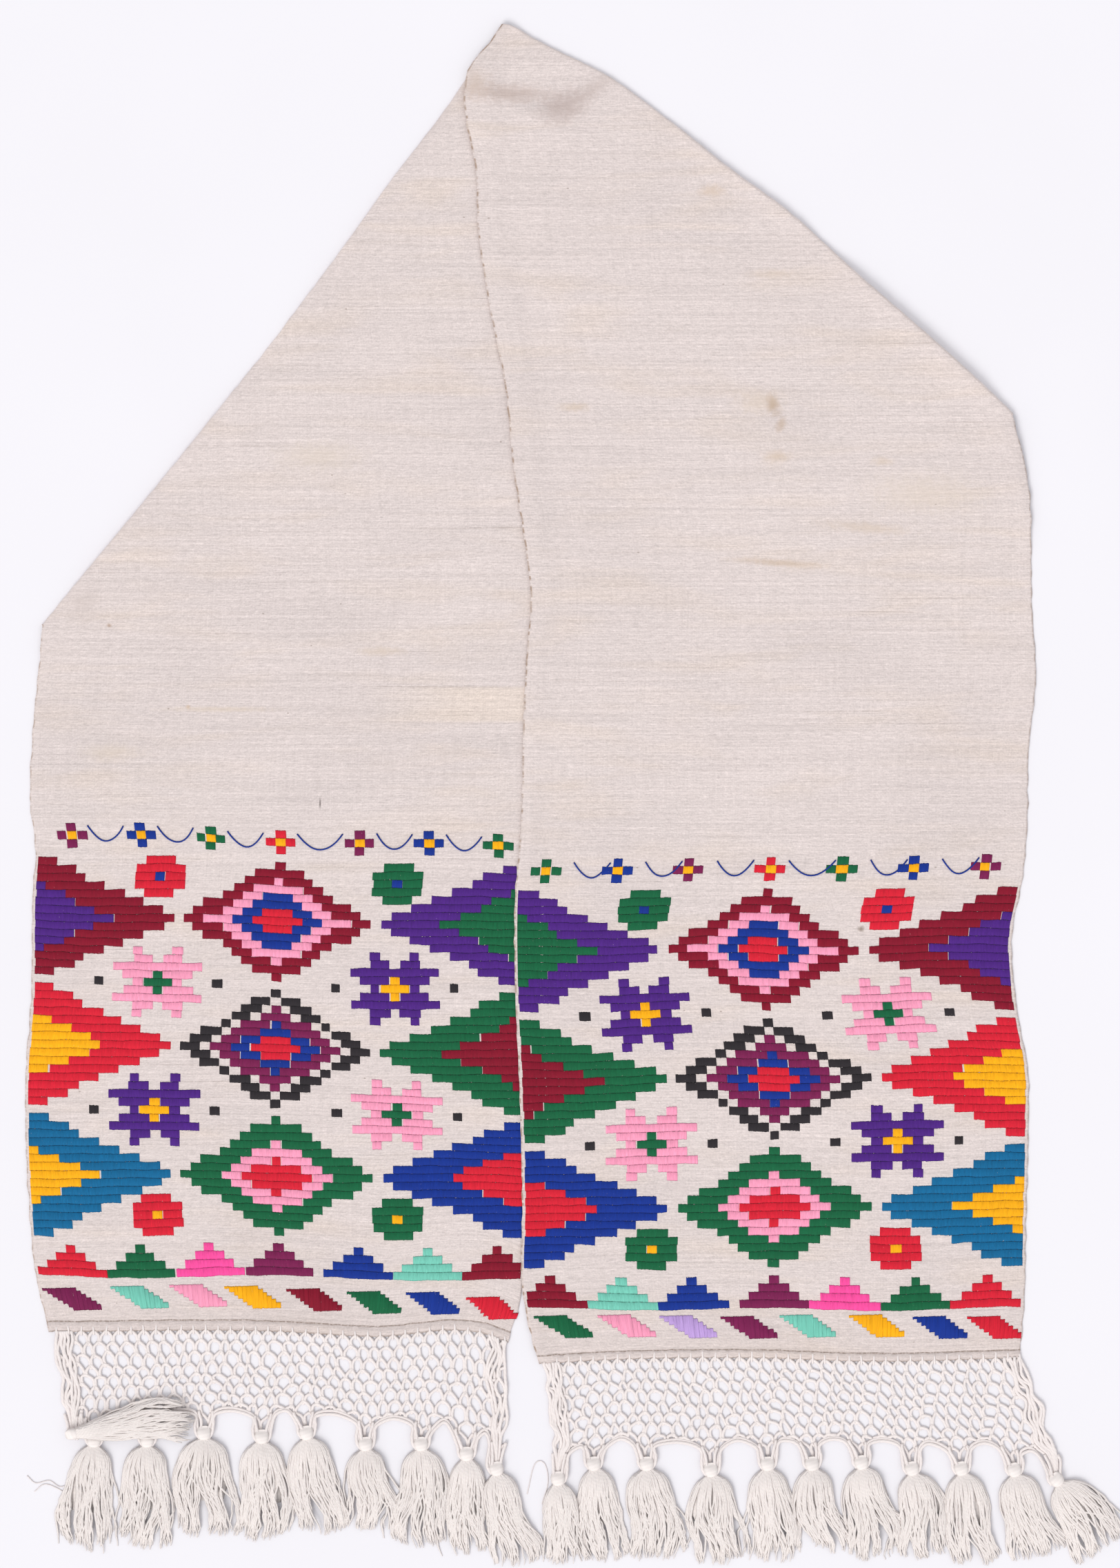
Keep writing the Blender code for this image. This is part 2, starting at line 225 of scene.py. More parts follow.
def drift_over(x: Array, y: Array, wave: float, seed: int) -> Array:
    """The same wander over a plane: four waves that run in four directions.

    Args:
        x: side positions in metres.
        y: heights y in metres.
        wave: the middle wave length in metres.
        seed: picks the lengths, phases and directions.

    Returns:
        The wander at each place.
    """
    rng = np.random.default_rng(seed)
    lengths, phases = wave * rng.uniform(0.6, 1.6, 4), rng.uniform(0, 2 * math.pi, 4)
    turns = rng.uniform(0, math.pi, 4)
    ahead = x[..., None] * np.cos(turns) + y[..., None] * np.sin(turns)
    return np.sin(2 * math.pi * ahead / lengths + phases).sum(axis=-1) / 2.4


@dataclass
class Heap:
    """Gathers sheets and swept rings, with flat coordinates for each face corner, and makes them one mesh."""

    points: list[Array] = field(default_factory=list)
    faces: list[Array] = field(default_factory=list)
    flats: list[Array] = field(default_factory=list)
    count: int = 0

    def add(self, points: Array, faces: list[Array], flats: list[Array]) -> None:
        """Adds points and the faces on them.

        Args:
            points: places, in rows of three.
            faces: arrays of faces by their number of corners, counted from these points.
            flats: for each array of faces, the two flat coordinates of each corner.
        """
        self.points.append(points.reshape(-1, 3))
        self.faces.extend(part + self.count for part in faces)
        self.flats.extend(flats)
        self.count += len(self.points[-1])

    def take(self, other: Heap) -> None:
        """Adds all that another heap holds.

        Args:
            other: the other heap.
        """
        self.points.extend(other.points)
        self.faces.extend(part + self.count for part in other.faces)
        self.flats.extend(other.flats)
        self.count += other.count

    def sweep(self, rings: Array, along: Array, around: Array | None = None) -> None:
        """Skins a batch of tubes: quads from ring to ring, and one face to close each end.

        Args:
            rings: tubes x rings x corners x 3, each ring anticlockwise as seen from the tube's far end.
            along: tubes x rings, the second flat coordinate.
            around: first flat coordinate of the corners and of the seam after the last, 0 to 1 as standard.
        """
        tubes, rows, corners = rings.shape[:3]
        around = np.linspace(0, 1, corners + 1) if around is None else around
        index = np.arange(tubes * rows * corners).reshape(tubes, rows, corners)
        following = np.roll(index, -1, axis=2)
        walls = np.stack([index[:, :-1], following[:, :-1], following[:, 1:], index[:, 1:]], axis=-1)
        flat = np.empty(walls.shape + (2,))
        flat[..., 0] = np.stack([around[:-1], around[1:], around[1:], around[:-1]], axis=-1)
        lower, upper = along[:, :-1, None], along[:, 1:, None]
        flat[..., 1] = np.stack([lower, lower, upper, upper], axis=-1)
        ends = np.concatenate([index[:, 0, ::-1], index[:, -1]])
        end_flat = np.empty(ends.shape + (2,))
        end_flat[..., 0] = around[:-1]
        end_flat[..., 1] = np.concatenate([along[:, 0], along[:, -1]])[:, None]
        self.add(rings, [walls.reshape(-1, 4), ends], [flat.reshape(-1, 4, 2), end_flat])

    def cords(self, paths: Array, radii: Array | float, sides: int, press: float = 1.0) -> None:
        """Carries a round or flattened section along a batch of paths.

        Each corner is the path's point + radius x (cos(angle) x across + press x sin(angle) x over), where
        across is square to the path and level, and over is square to both.

        Args:
            paths: cords x points x 3.
            radii: one radius, or one for each point.
            sides: corners of the section.
            press: how high the section is for its width.
        """
        ahead = np.gradient(paths, axis=1)
        ahead /= np.linalg.norm(ahead, axis=-1, keepdims=True)
        across = np.cross(np.broadcast_to((0.0, 0.0, 1.0), paths.shape), ahead)
        across /= np.linalg.norm(across, axis=-1, keepdims=True)
        over = np.cross(ahead, across)
        angle = np.arange(sides) * 2 * math.pi / sides
        reach = np.broadcast_to(radii, paths.shape[:2])[..., None, None]
        rings = paths[:, :, None] + reach * (np.cos(angle)[:, None] * across[:, :, None]
                                             + press * np.sin(angle)[:, None] * over[:, :, None])
        steps = np.linalg.norm(np.diff(paths, axis=1), axis=-1)
        along = np.concatenate([np.zeros((len(paths), 1)), np.cumsum(steps, axis=1)], axis=1)
        self.sweep(rings, along + np.arange(len(paths))[:, None] * 0.37)

    def build(self, name: str, material: bpy.types.Material) -> bpy.types.Object:
        """Makes the mesh, moved from the tables' datum to the part's frame.

        Args:
            name: the piece's name.
            material: its finish.

        Returns:
            The piece, at the origin, with its place in its mesh.
        """
        mesh = bpy.data.meshes.new(name)
        points = np.concatenate(self.points) + DATUM
        sizes = np.concatenate([np.full(len(part), part.shape[1]) for part in self.faces])
        corners = np.concatenate([part.ravel() for part in self.faces])
        mesh.vertices.add(len(points))
        mesh.vertices.foreach_set("co", points.astype(np.float32).ravel())
        mesh.loops.add(len(corners))
        mesh.loops.foreach_set("vertex_index", corners.astype(np.int32))
        mesh.polygons.add(len(sizes))
        mesh.polygons.foreach_set("loop_start", (np.cumsum(sizes) - sizes).astype(np.int32))
        mesh.polygons.foreach_set("use_smooth", np.ones(len(sizes), bool))
        flats = np.concatenate([part.reshape(-1, 2) for part in self.flats]).astype(np.float32)
        mesh.uv_layers.new(name="flat").uv.foreach_set("vector", flats.ravel())
        mesh.update(calc_edges=True)
        mesh.validate()
        mesh.materials.append(material)
        piece = bpy.data.objects.new(name, mesh)
        bpy.context.scene.collection.objects.link(piece)
        LOG.info("%s: %d faces", name, len(sizes))
        return piece


def quads(*corners: Array) -> Array:
    """Faces of four corners, from four arrays of point numbers."""
    return np.stack(corners, axis=-1).reshape(-1, 4)


def over_middle(x: Array, y: Array) -> Array:
    """How far the middle stretch below an end lifts it, by the distance above the line between its corners.

    Args:
        x: side positions.
        y: heights y.

    Returns:
        The lift in layers, 1 above the middle stretch and 0 on the floor.
    """
    (x_0, y_0), (x_1, y_1) = LEFT_FOLD[0], RIGHT_FOLD[-1]
    run, rise = (x_1 - x_0) * MM, (y_1 - y_0) * MM
    above = ((y - y_0 * MM) * run - (x - x_0 * MM) * rise) / math.hypot(run, rise)
    return smooth_step((above + STEP_START + STEP_LENGTH) / STEP_LENGTH)


def lap_lift(x: Array, y: Array) -> Array:
    """How far the right end is lifted where it laps over the left end's inner selvedge, with a ramp down.

    Args:
        x: side positions.
        y: heights y.

    Returns:
        The lift in layers.
    """
    inside = x - smooth_curve(RIGHT_INNER, y)
    lap = np.maximum(smooth_curve(LEFT_INNER, y) - smooth_curve(RIGHT_INNER, y), 0)
    return 1 - np.clip((inside - lap - LAP_MARGIN) / LAP_RAMP, 0, 1)


def ridge(x: Array, y: Array) -> Array:
    """Soft ridge below the folded point: a bell along a bent crest, steeper on its upper side.

    Args:
        x: side positions.
        y: heights y.

    Returns:
        The height that it adds.
    """
    crest = RIDGE_Y + RIDGE_BEND * (x - RIDGE_X) ** 2
    away = (y - crest) / np.where(y > crest, RIDGE_UPPER, RIDGE_LOWER)
    return RIDGE_HEIGHT * np.exp(-(((x - RIDGE_X) / RIDGE_REACH) ** 2) - away**2)


@dataclass(frozen=True)
class Crease:
    """A soft ridge in the linen, in millimetres: a bell across a straight line, faded at both its ends."""

    start: tuple[float, float]
    stop: tuple[float, float]
    reach: float
    height: float
    fade: float = 0.25

    def lift(self, x: Array, y: Array) -> Array:
        """Height that the crease adds, from the distances along and away from its line.

        Args:
            x: side positions.
            y: heights y.

        Returns:
            The height that it adds.
        """
        (x_0, y_0), (x_1, y_1) = (np.array(p) * MM for p in (self.start, self.stop))
        length = math.hypot(x_1 - x_0, y_1 - y_0)
        along = ((x - x_0) * (x_1 - x_0) + (y - y_0) * (y_1 - y_0)) / length
        away = ((x - x_0) * (y_1 - y_0) - (y - y_0) * (x_1 - x_0)) / length
        faded = self.fade * length
        fade = smooth_step(along / faded) * smooth_step((length - along) / faded)
        return self.height * MM * fade * np.exp(-(away / (self.reach * MM)) ** 2)


CREASES = (
    Crease((-46, 1022), (34, 990), 7, 2.4),
    Crease((18, 984), (70, 1022), 7, 1.8),
    Crease((-110, 968), (-30, 884), 4, 0.6),
    Crease((-380, 588), (-206, 801), 13, 3.4),
    Crease((-196, 815), (-88, 960), 11, 2.2),
    Crease((120, 1000), (262, 886), 9, 2.4),
    Crease((246, 900), (410, 750), 17, 5.4),
    Crease((392, 770), (424, 640), 14, 2.6),
    Crease((309, -20), (312, 190), 5, 0.9),
    Crease((298, 300), (312, 620), 9, 0.35),
    Crease((-380, 45), (-20, 38), 14, 0.35),
    Crease((30, 60), (400, 52), 14, 0.35),
    Crease((-350, 560), (-40, 600), 20, 0.3),
)


@dataclass(frozen=True)
class End:
    """One laid end of the strip, with its selvedges, hem and fold."""

    side: Side
    outer: Table
    inner: Table
    hem: Table
    fold: Table
    hem_narrower: float

    def x_at(self, across: Array, y: Array) -> Array:
        """Side position between the selvedges, where across is 0 at the outer and 1 at the inner one."""
        return smooth_curve(self.outer, y) * (1 - across) + smooth_curve(self.inner, y) * across

    def meet(self, curve: Table, across: Array, start: float) -> Array:
        """Height y at which each lengthwise thread meets a fold or hem, found by stepping between the two.

        Args:
            curve: the fold or hem, rows of (side x, height y).
            across: which lengthwise threads.
            start: first guess of the height.

        Returns:
            The height for each thread.
        """
        y = np.full_like(across, start)
        for _ in range(40):
            y = y + 0.5 * (smooth_curve(curve, self.x_at(across, y)) - y)
        return y

    def height(self, x: Array, y: Array) -> Array:
        """Height z of the cloth's middle surface: half its thickness, the layers below it, and its creases.

        Args:
            x: side positions.
            y: heights y.

        Returns:
            The height z.
        """
        lifted = over_middle(x, y)
        above = 0.22 * MM * (1 + drift_over(x, y, 0.11, 7)) * smooth_step((y - 0.02) / 0.08)
        if self.side is Side.RIGHT:
            lifted = lifted + lap_lift(x, y)
            above = above + ridge(x, y)
        for crease in CREASES:
            above = above + crease.lift(x, y)
        return CLOTH_THICKNESS / 2 + LAYER_PITCH * lifted + above

    def hem_y(self, x: Array) -> Array:
        """Height y of the turned hem's lower edge, a little above that of the solid."""
        return smooth_curve(self.hem, x) + self.hem_narrower


LEFT_END = End(Side.LEFT, LEFT_EDGE, LEFT_INNER, LEFT_HEM, LEFT_FOLD, 1.5 * MM)
RIGHT_END = End(Side.RIGHT, RIGHT_EDGE, RIGHT_INNER, RIGHT_HEM, RIGHT_FOLD, 3.4 * MM)


@dataclass
class Wiring:
    """Adds nodes to one shader tree and joins them up, with the shared groups at hand."""

    tree: bpy.types.NodeTree
    groups: SharedGroups | None = None

    def feed(self, node: bpy.types.Node, inputs: dict[str | int, object]) -> None:
        """Fills a node's inputs.

        Args:
            node: the node.
            inputs: a value or another node's output for each named or numbered input.
        """
        for name, value in inputs.items():
            if isinstance(value, Socket):
                self.tree.links.new(value, node.inputs[name])
            else:
                node.inputs[name].default_value = value

    def node(self, kind: str, inputs: dict[str | int, object] | None = None,
             **settings: object) -> bpy.types.Node:
        """Adds a node.

        Args:
            kind: its type, without the words ShaderNode.
            inputs: a value or another node's output for each named or numbered input.
            settings: its other settings.

        Returns:
            The node.
        """
        made = self.tree.nodes.new("ShaderNode" + kind)
        for name, value in settings.items():
            setattr(made, name, value)
        self.feed(made, inputs or {})
        return made

    def group(self, tree: bpy.types.NodeTree, inputs: dict[str, object]) -> Socket:
        """Places a node group and gives its first output."""
        return self.node("Group", inputs, node_tree=tree).outputs[0]

    def math(self, operation: str, first: object, second: object = 0.0) -> Socket:
        """Adds a sum of one or two values and gives its output."""
        return self.node("Math", {0: first, 1: second}, operation=operation).outputs[0]

    def times(self, *values: object) -> Socket:
        """Multiplies values from the first to the last and gives the output."""
        return reduce(lambda product, value: self.math("MULTIPLY", product, value), values)

    def ramp(self, value: object, low: float, high: float, to_low: float = 0.0,
             to_high: float = 1.0) -> Socket:
        """Takes a value smoothly from one range to another, held at its ends, and gives the output."""
        return self.node("MapRange", {"Value": value, "From Min": low, "From Max": high, "To Min": to_low,
                                      "To Max": to_high}, interpolation_type="SMOOTHSTEP").outputs[0]

    def mix(self, share: object, first: object, second: object, blend: str = "MIX") -> Socket:
        """Mixes two colours and gives the output."""
        made = self.node("Mix", {0: share, 6: first, 7: second}, data_type="RGBA", blend_type=blend)
        return made.outputs[2]

    def tint(self, share: object, first: object, colour: Colour) -> Socket:
        """Mixes one plain colour into another and gives the output."""
        return self.mix(share, first, rgba(colour))

    def streak(self, where: object, *stretch: float) -> Socket:
        """Noise drawn out by its stretch along the first two or three axes, from 0 to 1."""
        return self.group(self.groups.streaks, {"Where": where, "Stretch": (*stretch, 1.0)[:3]})

    def shade(self, colour: object, *rows: tuple[object, float, float]) -> object:
        """Darkens or brightens a colour by one mask after another.

        Args:
            colour: the colour.
            rows: rows of (mask, level where it is low, level where it is high).

        Returns:
            The output.
        """
        for mask, low, high in rows:
            colour = self.group(self.groups.shade, {"Colour": colour, "Mask": mask, "Low": low, "High": high})
        return colour

    def bump(self, height: object, strength: float, distance: float) -> Socket:
        """Turns a height into a bump and gives its output."""
        return self.node("Bump", {"Height": height, "Strength": strength, "Distance": distance}).outputs[0]


@dataclass
class SharedGroups:
    """Node groups that more than one finish uses, each built once."""

    streaks: bpy.types.NodeTree = field(init=False)
    spot: bpy.types.NodeTree = field(init=False)
    shade: bpy.types.NodeTree = field(init=False)
    twist: bpy.types.NodeTree = field(init=False)

    def __post_init__(self) -> None:
        """Builds the four groups."""
        self.streaks = self._streaks()
        self.spot = self._spot()
        self.shade = self._shade()
        self.twist = self._twist()

    @staticmethod
    def _start(name: str, inputs: dict[str, str], output: tuple[str, str]) -> tuple:
        """Starts a group.

        Args:
            name: the group's name.
            inputs: the type of each input socket by its name.
            output: the output's name and type.

        Returns:
            The group's wiring, its given inputs and its output node.
        """
        tree = bpy.data.node_groups.new(name, "ShaderNodeTree")
        for label, kind in inputs.items():
            tree.interface.new_socket(name=label, in_out="INPUT", socket_type="NodeSocket" + kind)
        tree.interface.new_socket(name=output[0], in_out="OUTPUT", socket_type="NodeSocket" + output[1])
        return Wiring(tree), tree.nodes.new("NodeGroupInput").outputs, tree.nodes.new("NodeGroupOutput")

    def _streaks(self) -> bpy.types.NodeTree:
        """Soft noise drawn out along one way: the place times a stretch for each axis, then noise of that.

        Returns:
            The group.
        """
        inputs = {"Where": "Vector", "Stretch": "Vector"}
        wiring, given, out = self._start("streaks", inputs, ("Value", "Float"))
        scaled = wiring.node("VectorMath", {0: given["Where"], 1: given["Stretch"]}, operation="MULTIPLY")
        noise = wiring.node("TexNoise", {"Vector": scaled.outputs[0], "Scale": 1.0, "Detail": 2.5,
                                         "Roughness": 0.6, "Distortion": 0.35})
        wiring.feed(out, {0: noise.outputs[0]})
        return wiring.tree

    def _spot(self) -> bpy.types.NodeTree:
        """A soft mark, for stains and for painted shade: 1 in its middle, falling to 0 at its reach, with an
        uneven edge.

        Returns:
            The group.
        """
        inputs = {"Where": "Vector", "Centre": "Vector", "Reach": "Vector", "Turn": "Float"}
        wiring, given, out = self._start("spot", inputs, ("Mask", "Float"))
        turned = wiring.node("VectorRotate", {"Vector": given["Where"], "Center": given["Centre"],
                                              "Angle": given["Turn"]}, rotation_type="Z_AXIS")
        away = wiring.node("VectorMath", {0: turned.outputs[0], 1: given["Centre"]}, operation="SUBTRACT")
        share = wiring.node("VectorMath", {0: away.outputs[0], 1: given["Reach"]}, operation="DIVIDE")
        length = wiring.node("VectorMath", {0: share.outputs[0]}, operation="LENGTH")
        noise = wiring.node("TexNoise", {"Vector": given["Where"], "Scale": 240.0, "Detail": 3.0})
        uneven = wiring.math("ADD", length.outputs[1], wiring.times(noise.outputs[0], 0.9))
        wiring.feed(out, {0: wiring.ramp(uneven, 0.45, 1.6, 1.0, 0.0)})
        return wiring.tree

    def _shade(self) -> bpy.types.NodeTree:
        """Darkens or brightens a colour: the colour times a level between Low and High, by a mask.

        Returns:
            The group.
        """
        inputs = {"Colour": "Color", "Mask": "Float", "Low": "Float", "High": "Float"}
        wiring, given, out = self._start("shade", inputs, ("Colour", "Color"))
        level = wiring.node("MapRange", {"Value": given["Mask"], "From Min": 0.25, "From Max": 0.75,
                                         "To Min": given["Low"], "To Max": given["High"]}).outputs[0]
        grey = wiring.node("CombineColor", {0: level, 1: level, 2: level})
        wiring.feed(out, {0: wiring.mix(1.0, given["Colour"], grey.outputs[0], "MULTIPLY")})
        return wiring.tree

    def _twist(self) -> bpy.types.NodeTree:
        """Plied cord: the sine of twice the way around plus the turns along the cord, from 0 to 1.

        Returns:
            The group.
        """
        wiring, given, out = self._start("twist", {"Where": "Vector", "Turns": "Float"}, ("Height", "Float"))
        around, along, _ = wiring.node("SeparateXYZ", {0: given["Where"]}).outputs
        turns = wiring.math("ADD", wiring.times(along, given["Turns"]), wiring.times(around, 2.0))
        sine = wiring.math("SINE", wiring.times(turns, 2 * math.pi))
        height = wiring.node("Math", {0: sine, 1: 0.5, 2: 0.5}, operation="MULTIPLY_ADD")
        wiring.feed(out, {0: height.outputs[0]})
        return wiring.tree


def new_material(name: str, groups: SharedGroups) -> tuple[bpy.types.Material, Wiring, bpy.types.Node]:
    """Starts a finish.

    Args:
        name: the material's name.
        groups: the shared node groups.

    Returns:
        The material, its wiring and its Principled shader.
    """
    material = bpy.data.materials.new(name)
    material.use_nodes = True
    shader = material.node_tree.nodes["Principled BSDF"]
    return material, Wiring(material.node_tree, groups), shader


@dataclass(frozen=True)
class StainAndShade:
    """A mark on the linen, a stained spot or a patch of painted shade: its middle and reach in millimetres
    from the datum, colour, strength and slope.
    """

    x: float
    y: float
    wide: float
    high: float
    colour: Colour
    strength: float
    slope: float = 0.0

    def mask(self, wiring: Wiring, place: Socket) -> Socket:
        """Where the mark shows.

        Args:
            wiring: the linen's wiring.
            place: the object's own coordinates.

        Returns:
            Its share of the colour.
        """
        centre = np.array([self.x, self.y, 0]) * MM + DATUM
        reach = (self.wide * MM, self.high * MM, 0.05)
        spot = wiring.group(wiring.groups.spot, {"Where": place, "Centre": centre.tolist(), "Reach": reach,
                                                 "Turn": math.radians(self.slope)})
        return wiring.times(spot, self.strength)


STAINS_AND_FOLD_SHADE = (
    StainAndShade(207, 762, 7, 11, (172, 146, 122), 0.85, -20),
    StainAndShade(214, 746, 5, 9, (186, 162, 140), 0.6, 25),
    StainAndShade(196, 764, 26, 14, (214, 196, 178), 0.5),
    StainAndShade(210, 720, 14, 7, (206, 184, 162), 0.55),
    StainAndShade(296, 716, 12, 5, (210, 190, 170), 0.5),
    StainAndShade(284, 662, 44, 6, (206, 186, 166), 0.5, 4),
    StainAndShade(212, 634, 50, 4, (198, 174, 150), 0.55, 4),
    StainAndShade(330, 690, 60, 22, (216, 200, 184), 0.45),
    StainAndShade(-160, 720, 46, 16, (216, 200, 182), 0.4),
    StainAndShade(-330, 480, 30, 10, (214, 198, 180), 0.4),
    StainAndShade(158, 935, 14, 7, (208, 184, 160), 0.5),
    StainAndShade(46, 760, 16, 5, (206, 184, 160), 0.5),
    StainAndShade(206, 868, 24, 5, (212, 192, 172), 0.4),
    StainAndShade(-331, 583, 2.4, 2, (160, 126, 96), 0.6),
    StainAndShade(-267, 517, 2.6, 2.2, (196, 166, 136), 0.6),
    StainAndShade(-240, 515, 60, 3, (216, 196, 172), 0.4),
    StainAndShade(-110, 562, 26, 5, (208, 188, 166), 0.45),
    StainAndShade(279, 337, 4, 3, (128, 108, 92), 0.8),
    StainAndShade(-160, 439, 1.0, 6, (80, 70, 66), 0.8),
    # From here on the rows are painted shade: the soft trough below the folded point, and shade along the
    # left fold's edge
    StainAndShade(-8, 1014, 48, 11, (190, 170, 160), 0.65, 2),
    StainAndShade(38, 1004, 28, 17, (180, 162, 156), 0.7, -20),
    StainAndShade(62, 1018, 26, 9, (192, 176, 170), 0.55, -32),
    StainAndShade(-34, 1022, 16, 17, (200, 180, 166), 0.55),
    StainAndShade(-70, 990, 62, 9, (196, 184, 182), 0.5, -52),
    StainAndShade(-280, 716, 160, 7, (204, 192, 190), 0.4, -51),
    StainAndShade(-352, 600, 22, 16, (200, 186, 180), 0.4, -52),
)

@dataclass(frozen=True)
class LinenFinish:
    """Homespun linen: weft lines, slubs, a faint twill, soft patches, stains, knots and darker outer
    selvedges, with painted shade along the folds and below the folded point, and painted shadow lines along
    the hem and the lap.

    Its flat coordinates are metres across the strip, plus 1 on the right end, and metres from the hem.
    """

    colour: Colour = (227, 214, 210)
    hem_colour: Colour = (216, 201, 194)
    warm_colour: Colour = (228, 210, 196)
    cool_colour: Colour = (208, 196, 194)
    bar_colour: Colour = (240, 221, 202)
    # Shared by dark weft threads, knots and the hem's painted shadow lines
    dark_thread_and_shade_colour: Colour = (128, 110, 98)
    lap_shadow_and_selvedge_colour: Colour = (156, 130, 110)
    twill_angle: float = math.radians(38)
    # Dark lines on the hem, rows of (millimetres from the hem's lower edge, reach in millimetres, strength):
    # painted shadow along its turned upper edge, where its stitching runs, and painted shadow along its lower
    # edge below the net's loops
    hem_stitch_and_shadow_lines: Table = ((10.3, 1.0, 0.95), (0.4, 2.0, 0.8))
    # Dark lines along the selvedges, rows of (first and last flat coordinate, strength at each, coordinate it
    # stays above): the first is painted shadow in the gap where the right end laps over the left, the others
    # darken both outer selvedges
    lap_shadow_and_selvedge_lines: Table = ((1.4082, 1.4092, 0.0, 0.85, 0.9), (0.0006, 0.0016, 0.55, 0.0, -1.0),
                        (1.0006, 1.0016, 0.45, 0.0, 0.9))

    def build(self, groups: SharedGroups) -> bpy.types.Material:
        """Makes the material.

        Args:
            groups: the shared node groups.

        Returns:
            The material.
        """
        material, wiring, shader = new_material("homespun_linen", groups)
        flat = wiring.node("UVMap", uv_map="flat").outputs[0]
        place = wiring.node("TexCoord").outputs["Object"]
        across, up, _ = wiring.node("SeparateXYZ", {0: flat}).outputs
        turned = wiring.node("Mapping", {"Vector": flat, "Rotation": (0, 0, self.twill_angle)}).outputs[0]
        lines, slubs = wiring.streak(flat, 7, 560), wiring.streak(flat, 150, 860)
        fine, grain = wiring.streak(flat, 100, 1700), wiring.streak(flat, 560, 800)
        warp, twill = wiring.streak(flat, 1300, 14), wiring.streak(turned, 1500, 110)
        bands, clouds = wiring.streak(flat, 3.2, 60), wiring.streak(place, 24, 40)
        colour = wiring.shade(
            self._patches(wiring, flat, place, across, up),
            (lines, 0.88, 1.08), (slubs, 0.85, 1.09), (fine, 0.92, 1.05), (grain, 0.86, 1.09),
            (bands, 0.97, 1.02), (warp, 0.95, 1.04), (twill, 0.94, 1.04), (clouds, 0.985, 1.015))
        colour = self._dark_threads(wiring, colour, flat, across, up)
        # Stains, and patches of painted shade along the folds and in the trough below the folded point
        for stain_and_shade in STAINS_AND_FOLD_SHADE:
            colour = wiring.tint(stain_and_shade.mask(wiring, place), colour, stain_and_shade.colour)
        height = wiring.math("ADD", wiring.times(lines, 0.5), wiring.times(slubs, 0.7))
        height = wiring.math("ADD", height, wiring.times(wiring.math("ADD", grain, twill), 0.4))
        wiring.feed(shader, {"Base Color": colour, "Normal": wiring.bump(height, 0.55, 0.5 * MM),
                             "Roughness": 0.92, "Specular IOR Level": 0.2, "Sheen Weight": 0.35,
                             "Sheen Roughness": 0.6})
        return material

    def _patches(self, wiring: Wiring, flat: Socket, place: Socket,
                 across: Socket, up: Socket) -> Socket:
        """The linen's colour with cool and warm patches, a darker hem and one yellower bar of weft.

        The bar lies on the left end between two heights and fades away from the lap.

        Args:
            wiring: the linen's wiring.
            flat: flat coordinates.
            place: the object's own coordinates.
            across: the first flat coordinate.
            up: the second flat coordinate.

        Returns:
            The colour.
        """
        cool = wiring.ramp(wiring.streak(place, 5, 6), 0.42, 0.72, 0.0, 0.2)
        colour = wiring.tint(cool, rgba(self.colour), self.cool_colour)
        warm = wiring.ramp(wiring.streak(flat, 7, 34), 0.46, 0.76, 0.0, 0.45)
        colour = wiring.tint(warm, colour, self.warm_colour)
        colour = wiring.tint(wiring.ramp(up, 0.0, 0.05, 0.3, 0.0), colour, self.hem_colour)
        bar = wiring.times(wiring.ramp(up, 0.503, 0.507), wiring.ramp(up, 0.531, 0.535, 1.0, 0.0),
                           wiring.ramp(across, 0.25, 0.38, 0.0, 0.42), wiring.math("LESS_THAN", across, 0.5))
        return wiring.tint(bar, colour, self.bar_colour)

    def _dark_threads(self, wiring: Wiring, colour: Socket, flat: Socket,
                      across: Socket, up: Socket) -> Socket:
        """Adds dark weft lines, painted shadow lines along the hem's two edges and along the lap's edge,
        darker dashed outer selvedges and small knots.

        Args:
            wiring: the linen's wiring.
            colour: the linen's colour so far.
            flat: flat coordinates.
            across: the first flat coordinate.
            up: the second flat coordinate.

        Returns:
            The colour.
        """
        dark_weft = wiring.times(wiring.ramp(wiring.streak(flat, 4, 620), 0.63, 0.74, 0.0, 0.34),
                                 wiring.ramp(wiring.streak(flat, 130, 4), 0.36, 0.6, 0.3, 1.0))
        colour = wiring.tint(dark_weft, colour, self.dark_thread_and_shade_colour)
        # Painted shadow along the hem's upper and lower edges
        for height, reach, strength in self.hem_stitch_and_shadow_lines:
            wander = wiring.times(wiring.math("SUBTRACT", wiring.streak(flat, 60, 2), 0.5), 2.2 * MM)
            off = wiring.math("SUBTRACT", wiring.math("ADD", up, wander), height * MM)
            line = wiring.times(wiring.ramp(wiring.math("ABSOLUTE", off), 0.0, reach * MM, strength, 0.0),
                                wiring.ramp(wiring.streak(flat, 420, 2), 0.3, 0.6, 0.35, 1.0))
            colour = wiring.tint(line, colour, self.dark_thread_and_shade_colour)
        dashes = wiring.ramp(wiring.streak(flat, 2, 150), 0.42, 0.6, 0.05, 1.0)
        # Painted shadow along the lap's edge, and darker outer selvedges, all broken into dashes
        for low, high, to_low, to_high, above in self.lap_shadow_and_selvedge_lines:
            line = wiring.times(wiring.ramp(across, low, high, to_low, to_high), dashes,
                                wiring.math("GREATER_THAN", across, above))
            colour = wiring.tint(line, colour, self.lap_shadow_and_selvedge_colour)
        spread = wiring.node("Mapping", {"Vector": flat, "Scale": (30, 46, 1)}).outputs[0]
        knots = wiring.node("TexVoronoi", {"Vector": spread, "Scale": 1.0}).outputs["Distance"]
        return wiring.tint(wiring.ramp(knots, 0.012, 0.04, 0.55, 0.0), colour, self.dark_thread_and_shade_colour)


